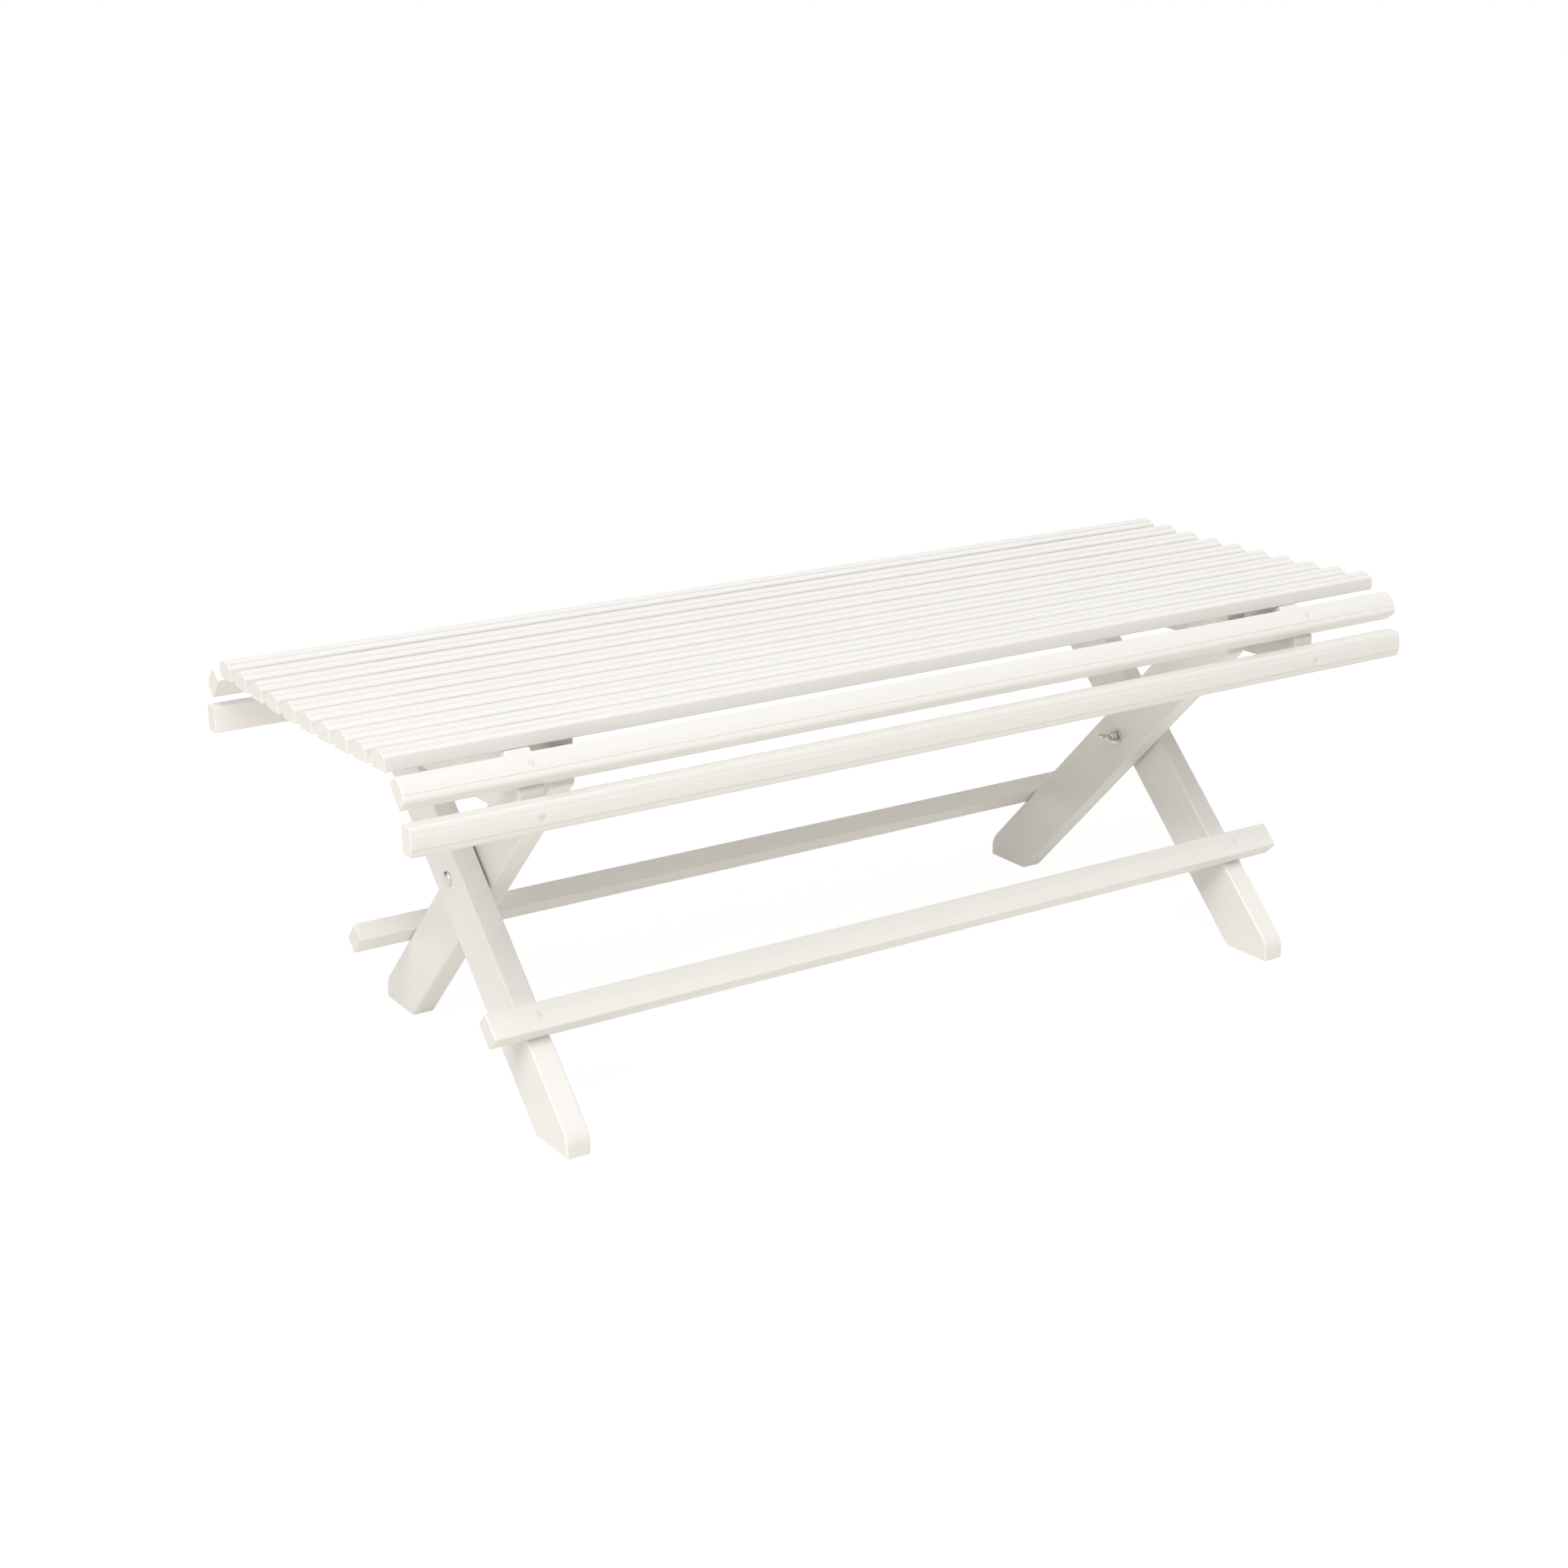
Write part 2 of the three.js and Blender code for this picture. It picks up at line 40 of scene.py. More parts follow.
import bmesh
import bpy
from bpy.props import FloatProperty, FloatVectorProperty, IntProperty, PointerProperty, StringProperty
from mathutils import Matrix, Vector

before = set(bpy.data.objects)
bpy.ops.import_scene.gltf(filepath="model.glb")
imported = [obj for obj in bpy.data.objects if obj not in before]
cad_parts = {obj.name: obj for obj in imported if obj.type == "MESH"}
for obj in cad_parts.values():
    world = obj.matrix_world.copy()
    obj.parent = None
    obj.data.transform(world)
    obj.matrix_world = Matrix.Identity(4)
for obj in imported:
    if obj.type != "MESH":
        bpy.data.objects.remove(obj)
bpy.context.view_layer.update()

MM = 0.001
HALF = 0.5
# A quarter of a turn, in radians.
QUARTER = math.pi * HALF
ENDS = (("left", -1), ("right", 1))
SIDES = (("front", -1), ("back", 1))
LACQUER_IOR = 1.49
WHITE = (1.0, 1.0, 1.0, 1.0)
SOFT_WHITE = (1.0, 0.995, 0.985, 1.0)
# How far a visible piece may stray from the solid that it stands for, in metres.
FIT_LIMIT = 1.5 * MM
# Where the moulded step's upper edge lies, as a share of its drop from the face.
STEP_TOP_SHARE = 0.3
# Grain at which a cast wing nut is fused, in metres, and overrun of its bore cutter, in millimetres.
CAST_GRAIN = 0.5 * MM
OVERRUN = 2.0
# Share of the height and of the radius on a wing nut's hub.
HUB_SHARES = ((0.0, 6.7 / 7), (0.5 / 9, 1.0), (4.0 / 9, 6.4 / 7), (8.0 / 9, 5.7 / 7), (1.0, 5.1 / 7))
# Radius of a bolt's blunt tail, as a share of its shank's.
TAIL_SHARE = 0.7
# Share of the pitch and of the radius along one turn of a thread.
THREAD_SHARES = ((0.25, 1.0), (0.55, 0.86), (0.75, 0.86), (1.0, 1.0))
# Share of the height and of the radius on a coach bolt's mushroom head, from the wood out.
MUSHROOM_SHARES = (
    (0.0, 1.0), (0.08, 0.995), (0.2, 0.975), (0.35, 0.93), (0.5, 0.86),
    (0.65, 0.76), (0.78, 0.63), (0.88, 0.48), (0.95, 0.32), (1.0, 0.12),
)
# Angles between faces from which an edge is planed, shades crisply, or is a line of a moulding.
ARRIS_ANGLE = math.radians(25)
CRISP_ANGLE = math.radians(20)
MOULDING_ANGLE = math.radians(30)
# How squarely a face has to look along an axis to be a sawn end: on a stop or a stretcher, on a
# bearer, on a leg.
CROSS_END, BEARER_END, LEG_END = 0.9, 0.5, 0.95
# How strongly large faces lead the shading of wood, from 1 to 100.
FACE_WEIGHT = 80
# Steps along each rounded form, and sides round each turned one.
LIP_STEPS, SHOULDER_STEPS, EASE_STEPS, ROUNDED_STEPS = 4, 8, 4, 3
TOE_STEPS, LEG_TOP_STEPS, LEG_CORNER_STEPS, WING_STEPS, DISH_STEPS = 8, 24, 6, 14, 16
BOLT_SIDES, WASHER_SIDES, BORE_SIDES, SCREW_SIDES, NUT_SIDES = 48, 64, 40, 32, 6
# Rounds in which the corner between a bearer's dish and its slope is closed in on.
CORNER_ROUNDS = 8
# Angles over which edges of metal stay crisp, in degrees, and smoothing of a casting's fillets.
BOLT_CREASE, WASHER_CREASE, NUT_CREASE, WING_CREASE, SCREW_CREASE = 38, 35, 25, 50, 30
FILLET_STRENGTH, FILLET_ROUNDS = 0.6, 6
# Height at which the studio's soft light is at its full, from level 0 to straight up 1.
FULL_LIGHT_HEIGHT = 0.9
# Growth lines in the paint lie this far apart and run this far before they fade, in metres.
GRAIN_GAP, GRAIN_RUN = 2.4 * MM, 240.0 * MM
# A diagonal wave repeats every 0.44 of its unit across its lines on a sawn end, which puts the
# growth rings 3.7 mm apart with this unit, in metres. The rings lean by an angle.
RING_UNIT = 8.32 * MM
RING_LEAN = 0.35
# Size of other patterns, in metres: clouds of hand-sprayed paint, orange peel, pores of end grain,
# clouds and grit of zinc, and lumps of thick lacquer.
PAINT_CLOUD, ORANGE_PEEL, PORE = 90.0 * MM, 1.4 * MM, 0.9 * MM
ZINC_CLOUD, GRIT, LUMP = 3.5 * MM, 0.5 * MM, 1.1 * MM
# Strength of each relief and its depth in metres.
GRAIN_RELIEF = (0.35, 0.12 * MM)
PEEL_RELIEF = (0.25, 0.03 * MM)
RING_RELIEF = (0.2, 0.04 * MM)
PORE_RELIEF = (0.35, 0.06 * MM)
GRIT_RELIEF = (0.3, 0.04 * MM)
LUMP_RELIEF = (0.4, 0.08 * MM)
# Roughness of each finish: from and to, where it varies with a cloud.
SATIN, CLOUDED_ZINC = (0.35, 0.4), (0.2, 0.38)
DULL_END_GRAIN, THICK_LACQUER = 0.55, 0.35
# Width of the camera's sensor, in millimetres, and how far it sees, in metres.
SENSOR = 36.0
FAR = 100.0


def node_span(node, axis):
    """Lowest and highest place of a frame node along an axis, in millimetres."""
    low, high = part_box(node)
    return low[axis] / MM, high[axis] / MM


# Sizes and colours that a user would change.


class BenchSlatSizes(bpy.types.PropertyGroup):
    """Sizes of the seat slats, in millimetres."""

    width: FloatProperty(name="Slat width", description="Width of a slat's flat face", default=28.0)
    side: FloatProperty(name="Slat side", description="Height of the straight sides", default=12.5)
    crown: FloatProperty(name="Slat crown", description="Rise of the top over the sides", default=6.5)
    paint_room: FloatProperty(name="Paint room", description="Top kept below the solid's", default=0.05)
    spacing: FloatProperty(name="Slat spacing", description="Distance from slat to slat", default=41.0)
    shoulder: FloatProperty(name="Slat shoulder", description="Width of the rounded shoulders", default=7.0)
    face_rise: FloatProperty(name="Face rise", description="Rise of a top slat's face", default=1.8)
    step: FloatProperty(name="Moulded step", description="Drop from face to shoulder", default=1.2)
    step_lean: FloatProperty(name="Step lean", description="Width of the step itself", default=0.1)
    step_round: FloatProperty(name="Step rounding", description="Paint over its edge", default=0.4)
    edge_step: FloatProperty(name="Edge slat step", description="Step on the four edge slats", default=0.7)
    tilted_face_rise: FloatProperty(name="Tilted face rise", description="On tilted slats", default=0.7)
    upright_side: FloatProperty(name="Upright slat side", description="Height of its sides", default=15.4)
    upright_face_rise: FloatProperty(name="Upright face rise", description="On upright slats", default=0.3)
    arris: FloatProperty(name="Slat arris", description="Radius of the lower long edges", default=1.2)
    end_ease: FloatProperty(name="Slat end ease", description="Sanding of the sawn ends", default=0.9)
    dish: FloatProperty(name="Seat dish", description="Rise of the outermost top slats", default=4.4)
    under: FloatProperty(name="Seat underside", description="Under the middle slats", default=393.5)
    tilt: FloatProperty(
        name="Edge slat tilt", description="Lean of the tilted edge slats",
        default=math.radians(50.0), subtype="ANGLE",
    )
    tilt_reach: FloatProperty(name="Tilted slat reach", description="Beyond the last top slat", default=31.0)
    tilt_drop: FloatProperty(name="Tilted slat drop", description="Below the seat's underside", default=13.0)
    upright_reach: FloatProperty(name="Upright reach", description="Beyond the last top slat", default=41.5)
    upright_rise: FloatProperty(name="Upright rise", description="Above the bearers' underside", default=8.0)
    count: IntProperty(name="Top slats", description="Number of flat seat slats", default=10)


class BenchBoardSizes(bpy.types.PropertyGroup):
    """Sizes of the legs, bearers and stretchers, in millimetres."""

    leg_width: FloatProperty(name="Leg width", description="Width of a leg across its length", default=60.0)
    leg_angle: FloatProperty(
        name="Leg angle", description="Lean of the legs from the floor",
        default=math.radians(45.0), subtype="ANGLE",
    )
    crossing: FloatProperty(name="Crossing height", description="Height of the crossing bolts", default=212.0)
    tip: FloatProperty(name="Foot tip", description="Height of the upright cut at a foot", default=21.0)
    arris: FloatProperty(name="Board arris", description="Chamfer of the planed board edges", default=1.3)
    bearer_depth: FloatProperty(name="Bearer depth", description="Height below the slats", default=56.0)
    top_room: FloatProperty(name="Leg top room", description="Over the rounded leg tops", default=0.5)
    corner: FloatProperty(name="Leg corner", description="Rounding of the inner leg tops", default=5.0)
    toe: FloatProperty(name="Toe round", description="Radius over the upright cut at a foot", default=26.0)
    stretcher_width: FloatProperty(name="Stretcher width", description="Along the leg", default=29.0)
    stretcher_depth: FloatProperty(name="Stretcher thickness", description="Off the leg", default=21.0)
    stretcher_round: FloatProperty(name="Stretcher rounding", description="Of its long edges", default=1.6)
    front_rise: FloatProperty(name="Front stretcher rise", description="Up the leg", default=119.0)
    back_rise: FloatProperty(name="Back stretcher rise", description="Up the leg", default=105.0)
    clear: FloatProperty(name="Clearance", description="Gap between separate pieces", default=0.3)


class BenchHardwareSizes(bpy.types.PropertyGroup):
    """Sizes of the bolts, washers, nuts and screws, in millimetres."""

    bolt: FloatProperty(name="Bolt radius", description="Shank radius of the coach bolts", default=3.0)
    thread: FloatProperty(name="Thread pitch", description="Pitch of the bolt's thread", default=1.0)
    head: FloatProperty(name="Bolt head radius", description="Mushroom heads", default=8.0)
    head_rise: FloatProperty(name="Bolt head rise", description="Height of the heads", default=3.6)
    screw: FloatProperty(name="Screw head radius", description="Countersunk wood screw", default=4.0)
    screw_shank: FloatProperty(name="Screw shank radius", description="Under the head", default=2.0)
    screw_rim: FloatProperty(name="Screw rim", description="Bevel of the head's rim", default=0.25)
    screw_sink: FloatProperty(name="Screw sink", description="Heads below the wood's face", default=0.6)
    screw_cone: FloatProperty(name="Screw head height", description="Of the countersunk cone", default=2.6)
    screw_tip: FloatProperty(name="Screw tip", description="Length of the pointed end", default=5.0)
    tip_radius: FloatProperty(name="Screw tip radius", description="Of the blunt point", default=0.4)
    head_room: FloatProperty(name="Head room", description="Around a screw head", default=0.06)
    hole_room: FloatProperty(name="Hole room", description="Around a screw shank", default=0.2)
    countersink: FloatProperty(name="Countersink", description="Its depth in the wood", default=2.8)
    hole_depth: FloatProperty(name="Hole depth", description="Of the modelled hole", default=6.0)
    short_screw: FloatProperty(name="Slat screw", description="Length of the slat screws", default=38.0)
    long_screw: FloatProperty(name="Stretcher screw", description="Length of those screws", default=45.0)
    recess: FloatProperty(name="Cross recess", description="Span of the driver recess", default=3.8)
    recess_slot: FloatProperty(name="Recess slot", description="Width of its slots", default=0.7)
    recess_depth: FloatProperty(name="Recess depth", description="Depth of its slots", default=0.6)
    bolt_tail: FloatProperty(name="Bolt tail", description="Length of the tail's taper", default=0.6)
    thread_length: FloatProperty(name="Thread length", description="From the tail", default=24.0)
    washer_ease: FloatProperty(name="Washer ease", description="Bevel of the washers", default=0.3)
    nut_ease: FloatProperty(name="Nut ease", description="Bevel of the hinge nuts", default=0.6)
    wing_span: FloatProperty(name="Wing nut span", description="Tip to tip", default=34.0)
    wing_rise: FloatProperty(name="Wing nut rise", description="Base to wing tip", default=17.0)
    hub: FloatProperty(name="Hub radius", description="Radius of the wing nut's hub", default=7.0)
    hub_rise: FloatProperty(name="Hub rise", description="Height of the hub", default=9.0)
    wing_foot: FloatProperty(name="Wing foot", description="Where a wing leaves the hub", default=7.2)
    wing_root: FloatProperty(name="Wing root", description="Height of a wing at the hub", default=8.6)
    wing_tip: FloatProperty(name="Wing tip radius", description="Round end of a wing", default=6.0)
    wing_thickness: FloatProperty(name="Wing thickness", description="Of the cast plate", default=2.9)
    bore_room: FloatProperty(name="Bore room", description="Between thread and wing nut", default=0.25)


class BenchColours(bpy.types.PropertyGroup):
    """Colours of the finishes, as sRGB hex values."""

    paint: StringProperty(name="Paint", description="White satin lacquer", default="ebe9e6")
    paint_shade: StringProperty(name="Paint over grain", description="Lacquer in the grain", default="e4e1dc")
    end_grain: StringProperty(name="End grain paint", description="Lacquer on sawn ends", default="ebe8e5")
    zinc: StringProperty(name="Zinc", description="Bright zinc plate", default="d6d5d3")
    floor: StringProperty(name="Floor", description="Pale studio floor", default="ece8e0")
    floor_shade: StringProperty(name="Floor shade", description="Shading seen", default="646464")
    felt: StringProperty(name="Felt", description="Black card for the metal", default="191919")


class BenchStudio(bpy.types.PropertyGroup):
    """Camera and lights."""

    lens: FloatProperty(name="Lens", description="Focal length on a 36 mm sensor", default=57.05)
    place: FloatVectorProperty(
        name="Camera place", description="Where the camera stands, in metres",
        default=(-1.4256, -2.1276, 1.0425), subtype="TRANSLATION",
    )
    yaw: FloatProperty(name="Camera yaw", description="From +Y towards +X", default=0.571, subtype="ANGLE")
    pitch: FloatProperty(name="Camera pitch", description="Downwards", default=0.308, subtype="ANGLE")
    roll: FloatProperty(name="Camera roll", description="About the view", default=-0.012, subtype="ANGLE")
    ambient: FloatProperty(name="Ambient", description="Strength of the soft light from above", default=0.75)
    horizon: FloatProperty(name="Horizon", description="Strength of the light from the sides", default=0.1)
    overhead: FloatProperty(name="Overhead light", description="Strength of the high light", default=1.55)
    side: FloatProperty(name="Side light", description="Power of the left panel, in watts", default=20.0)
    bounce: FloatProperty(name="Floor bounce", description="Light the floor adds from below", default=0.14)
    glow: FloatProperty(name="Floor glow", description="Light of the floor to the camera", default=0.92)
    softness: FloatProperty(
        name="Overhead softness", description="Angle that the high light spans",
        default=math.radians(32.0), subtype="ANGLE",
    )
    overhead_way: FloatVectorProperty(
        name="Overhead direction", description="Way that the high light shines",
        default=(0.39, 0.44, -0.84), subtype="DIRECTION",
    )
    side_place: FloatVectorProperty(
        name="Side light place", description="Where the panel stands, in metres",
        default=(-2.7, -1.5, 1.75), subtype="TRANSLATION",
    )
    side_aim: FloatVectorProperty(
        name="Side light aim", description="Where the panel points, in metres",
        default=(0.0, 0.0, 0.25), subtype="TRANSLATION",
    )
    side_size: FloatProperty(name="Panel size", description="Side of the panel, in metres", default=0.8)
    flag_place: FloatVectorProperty(
        name="Black card place", description="Its lower left corner, in metres",
        default=(-3.2, 2.2, 0.3), subtype="TRANSLATION",
    )
    flag_width: FloatProperty(name="Black card width", description="In metres", default=2.6)
    flag_height: FloatProperty(name="Black card height", description="In metres", default=2.0)
    floor_reach: FloatProperty(name="Floor reach", description="Half of its side, in metres", default=30.0)
    floor_drop: FloatProperty(name="Floor drop", description="Below the soles, in metres", default=0.0005)


# Materials.


def linear(hex_text):
    """sRGB hex text as a linear colour with full alpha."""
    channels = [int(hex_text[place:place + 2], 16) / 255 for place in (0, 2, 4)]
    turned = [value / 12.92 if value <= 0.04045 else ((value + 0.055) / 1.055) ** 2.4 for value in channels]
    return (*turned, 1.0)


def add_node(tree, kind, settings=None, inputs=None):
    """Add a node, set its fields, and fill or link its inputs."""
    node = tree.nodes.new(kind)
    for field, value in (settings or {}).items():
        setattr(node, field, value)
    for key, value in (inputs or {}).items():
        if isinstance(value, bpy.types.NodeSocket):
            tree.links.new(value, node.inputs[key])
        else:
            node.inputs[key].default_value = value
    return node


def new_material(name):
    """An empty node material."""
    material = bpy.data.materials.new(name)
    material.use_nodes = True
    material.node_tree.nodes.clear()
    return material, material.node_tree


def object_place(tree):
    """The place on the object, in metres."""
    return add_node(tree, "ShaderNodeTexCoord").outputs["Object"]


def turned_place(tree, place, lean):
    """A place turned about X, so a pattern follows a leaning board."""
    inputs = {"Vector": place, "Rotation": (lean, 0.0, 0.0)}
    return add_node(tree, "ShaderNodeMapping", {"vector_type": "POINT"}, inputs).outputs[0]


def noise(tree, place, scale, detail, roughness=0.5):
    """Value of a noise pattern with a number of features to the metre."""
    inputs = {"Vector": place, "Scale": scale, "Detail": detail, "Roughness": roughness}
    return add_node(tree, "ShaderNodeTexNoise", {}, inputs).outputs[0]


def carried(tree, value, low, high, new_low, new_high):
    """A value carried from one range to another."""
    inputs = {"Value": value, "From Min": low, "From Max": high, "To Min": new_low, "To Max": new_high}
    return add_node(tree, "ShaderNodeMapRange", {}, inputs).outputs[0]


def mixed_colour(tree, share, first, second):
    """A colour between two linear colours."""
    return add_node(tree, "ShaderNodeMix", {"data_type": "RGBA"}, {0: share, 6: first, 7: second}).outputs[2]


def relief(tree, height, strength, depth, under=None):
    """Normal of a relief of a depth in metres, over another one if given."""
    inputs = {"Strength": strength, "Distance": depth, "Height": height}
    if under is not None:
        inputs["Normal"] = under
    return add_node(tree, "ShaderNodeBump", {}, inputs).outputs[0]


def coat(tree, **inputs):
    """End a material with one surface shader, its inputs named as on the shader."""
    sockets = {field.replace("_", " "): value for field, value in inputs.items()}
    shader = add_node(tree, "ShaderNodeBsdfPrincipled", {}, sockets)
    add_node(tree, "ShaderNodeOutputMaterial", {}, {"Surface": shader.outputs[0]})


def satin_lacquer_on_pine(name, lean, long_axis, colours):
    """White satin lacquer sprayed on planed pine: faint raised grain, a fine orange peel, soft sheen."""
    material, tree = new_material(name)
    place = object_place(tree)
    grain_scale = [1 / GRAIN_GAP] * 3
    grain_scale[long_axis] = 1 / GRAIN_RUN
    stretched = add_node(
        tree, "ShaderNodeMapping", {"vector_type": "POINT"},
        {"Vector": turned_place(tree, place, lean), "Scale": grain_scale},
    )
    grain = noise(tree, stretched.outputs[0], 1.0, 3.0, 0.55)
    cloud = noise(tree, place, 1 / PAINT_CLOUD, 2.0)
    peel = noise(tree, place, 1 / ORANGE_PEEL, 1.0)
    tone = add_node(
        tree, "ShaderNodeMath", {"operation": "MULTIPLY"},
        {0: carried(tree, grain, 0.38, 0.72, 0.0, 0.75), 1: cloud},
    )
    raised = relief(tree, grain, *GRAIN_RELIEF)
    coat(
        tree,
        Base_Color=mixed_colour(tree, tone.outputs[0], linear(colours.paint), linear(colours.paint_shade)),
        Roughness=carried(tree, cloud, 0.3, 0.7, *SATIN),
        Normal=relief(tree, peel, *PEEL_RELIEF, raised), IOR=LACQUER_IOR,
    )
    return material


def lacquer_on_end_grain(name, lean, colours):
    """The same lacquer where sawn end grain has soaked it up: duller, with ring lines just showing."""
    material, tree = new_material(name)
    place = object_place(tree)
    rings = add_node(
        tree, "ShaderNodeTexWave", {"wave_type": "BANDS", "bands_direction": "DIAGONAL"},
        {
            "Vector": turned_place(tree, place, lean), "Scale": 1 / RING_UNIT, "Distortion": 3.0,
            "Detail": 2.0, "Detail Scale": 0.6,
        },
    ).outputs[1]
    pores = noise(tree, place, 1 / PORE, 2.0)
    tone = carried(tree, rings, 0.2, 0.9, 0.3, 0.7)
    raised = relief(tree, rings, *RING_RELIEF)
    coat(
        tree, Base_Color=mixed_colour(tree, tone, linear(colours.paint_shade), linear(colours.end_grain)),
        Roughness=DULL_END_GRAIN, Normal=relief(tree, pores, *PORE_RELIEF, raised), IOR=LACQUER_IOR,
    )
    return material


def bright_zinc_plate(name, colours):
    """Bright zinc plate on pressed steel: metal with a slightly uneven, faintly cloudy shine."""
    material, tree = new_material(name)
    place = object_place(tree)
    cloud = noise(tree, place, 1 / ZINC_CLOUD, 3.0)
    grit = noise(tree, place, 1 / GRIT, 1.0)
    coat(
        tree, Base_Color=linear(colours.zinc), Metallic=1.0,
        Roughness=carried(tree, cloud, 0.3, 0.7, *CLOUDED_ZINC), Normal=relief(tree, grit, *GRIT_RELIEF),
    )
    return material


def lacquered_screw_steel(name, colours):
    """Steel screw head sprayed over with the bench's lacquer: white, a little thicker and glossier."""
    material, tree = new_material(name)
    lumps = noise(tree, object_place(tree), 1 / LUMP, 2.0)
    coat(
        tree, Base_Color=mixed_colour(tree, lumps, linear(colours.paint_shade), linear(colours.end_grain)),
        Roughness=THICK_LACQUER, Normal=relief(tree, lumps, *LUMP_RELIEF), IOR=LACQUER_IOR,
    )
    return material


def finish(key):
    """The shared material for a finish, made on first use."""
    colours = bpy.context.scene.bench_colours
    lean = bpy.context.scene.bench_boards.leg_angle
    tilt = bpy.context.scene.bench_slats.tilt
    # Name, recipe and what it takes: the lean of the grain and the axis that it runs along.
    recipes = {
        "slat": ("satin_lacquer_on_pine_slat", satin_lacquer_on_pine, (0.0, 0)),
        "tilted": ("satin_lacquer_on_tilted_slat", satin_lacquer_on_pine, (tilt, 0)),
        "bearer": ("satin_lacquer_on_pine_bearer", satin_lacquer_on_pine, (0.0, 1)),
        "leg_a": ("satin_lacquer_on_back_leaning_leg", satin_lacquer_on_pine, (-lean, 1)),
        "leg_b": ("satin_lacquer_on_forward_leaning_leg", satin_lacquer_on_pine, (lean, 1)),
        "end": ("lacquer_on_sawn_end_grain", lacquer_on_end_grain, (RING_LEAN,)),
        "zinc": ("bright_zinc_plated_steel", bright_zinc_plate, ()),
        "screw": ("lacquered_countersunk_screw", lacquered_screw_steel, ()),
    }
    name, make, grain = recipes[key]
    return bpy.data.materials.get(name) or make(name, *grain, colours)


# Mesh work. Shapes are worked out in millimetres and stored in metres.


def place_piece(name, bm, keys, body, node):
    """Turn a bmesh into a piece that rides on a body and stands for a frame node."""
    bmesh.ops.recalc_face_normals(bm, faces=bm.faces)
    bmesh.ops.scale(bm, vec=(MM, MM, MM), verts=bm.verts)
    mesh = bpy.data.meshes.new(name)
    bm.to_mesh(mesh)
    bm.free()
    for key in keys:
        mesh.materials.append(finish(key))
    mesh.shade_smooth()
    piece = bpy.data.objects.new(name, mesh)
    bpy.context.scene.collection.objects.link(piece)
    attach(piece, body)
    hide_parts(node)
    return piece


def check_fit(piece, node):
    """Raise if a piece strays from the frame node that it stands for."""
    bpy.context.view_layer.update()
    low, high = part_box(node)
    corners = [piece.matrix_world @ Vector(corner) for corner in piece.bound_box]
    for axis in range(3):
        least = min(corner[axis] for corner in corners)
        most = max(corner[axis] for corner in corners)
        if max(abs(least - low[axis]), abs(most - high[axis])) > FIT_LIMIT:
            raise RuntimeError(f"{piece.name} strays from {node} along axis {axis}")


def place_wood(node, bm, keys, body):
    """Place a wooden piece, cut its countersinks, let its large faces lead the shading and test its fit."""
    piece = place_piece(f"{node}_wood", bm, keys, body, node)
    countersink(node, piece)
    weighted = piece.modifiers.new("flat faces lead", "WEIGHTED_NORMAL")
    weighted.weight = FACE_WEIGHT
    weighted.keep_sharp = True
    check_fit(piece, node)
    return piece


def place_zinc(node, bm, body, degrees):
    """Place a zinc plated piece at a bolt, with edges over an angle crisp, and test its fit."""
    piece = place_piece(f"{node}_steel", bm, ("zinc",), body, node)
    crease(piece, degrees)
    check_fit(piece, node)


def bare_end_grain(piece, direction, least):
    """Give the sawn ends, whose normals lean far enough along some axes, the end-grain finish."""
    for polygon in piece.data.polygons:
        if max(abs(polygon.normal[axis]) for axis in direction) > least:
            polygon.material_index = 1


def arc(centre, radius, first, last, steps):
    """Points of an arc from one angle to another."""
    angles = [first + (last - first) * step / steps for step in range(steps + 1)]
    return [(centre[0] + radius * math.cos(turn), centre[1] + radius * math.sin(turn)) for turn in angles]


def ring(bm, x, radius, sides):
    """A closed ring of points round X."""
    angles = [2 * math.pi * k / sides for k in range(sides)]
    return [bm.verts.new((x, radius * math.cos(turn), radius * math.sin(turn))) for turn in angles]


def skin(bm, lower, upper):
    """Faces all round between two closed loops of points."""
    for here, _ in enumerate(lower):
        after = (here + 1) % len(lower)
        bm.faces.new((lower[here], lower[after], upper[after], upper[here]))


def plate(first, last):
    """A closed plate between two outlines of the same points."""
    bm = bmesh.new()
    near, far = [[bm.verts.new(point) for point in outline] for outline in (first, last)]
    bm.faces.new(near)
    bm.faces.new(list(reversed(far)))
    skin(bm, far, near)
    bmesh.ops.recalc_face_normals(bm, faces=bm.faces)
    return bm


def board(outline, low_x, high_x, arris, steps=1, end_slot=1):
    """A board from an outline in Y and Z, run along X, with planed edges; its sawn ends get a slot."""
    bm = plate(*[[(x, y, z) for y, z in outline] for x in (low_x, high_x)])
    sharp = [edge for edge in bm.edges if edge.calc_face_angle(0.0) > ARRIS_ANGLE]
    bmesh.ops.bevel(
        bm, geom=sharp, offset=arris, offset_type="OFFSET", segments=steps, profile=0.5,
        affect="EDGES", clamp_overlap=True,
    )
    bm.normal_update()
    if steps == 1:
        for edge in bm.edges:
            edge.smooth = edge.calc_face_angle(0.0) < CRISP_ANGLE
    if end_slot:
        for face in bm.faces:
            if abs(face.normal.x) > CROSS_END:
                face.material_index = end_slot
    return bm


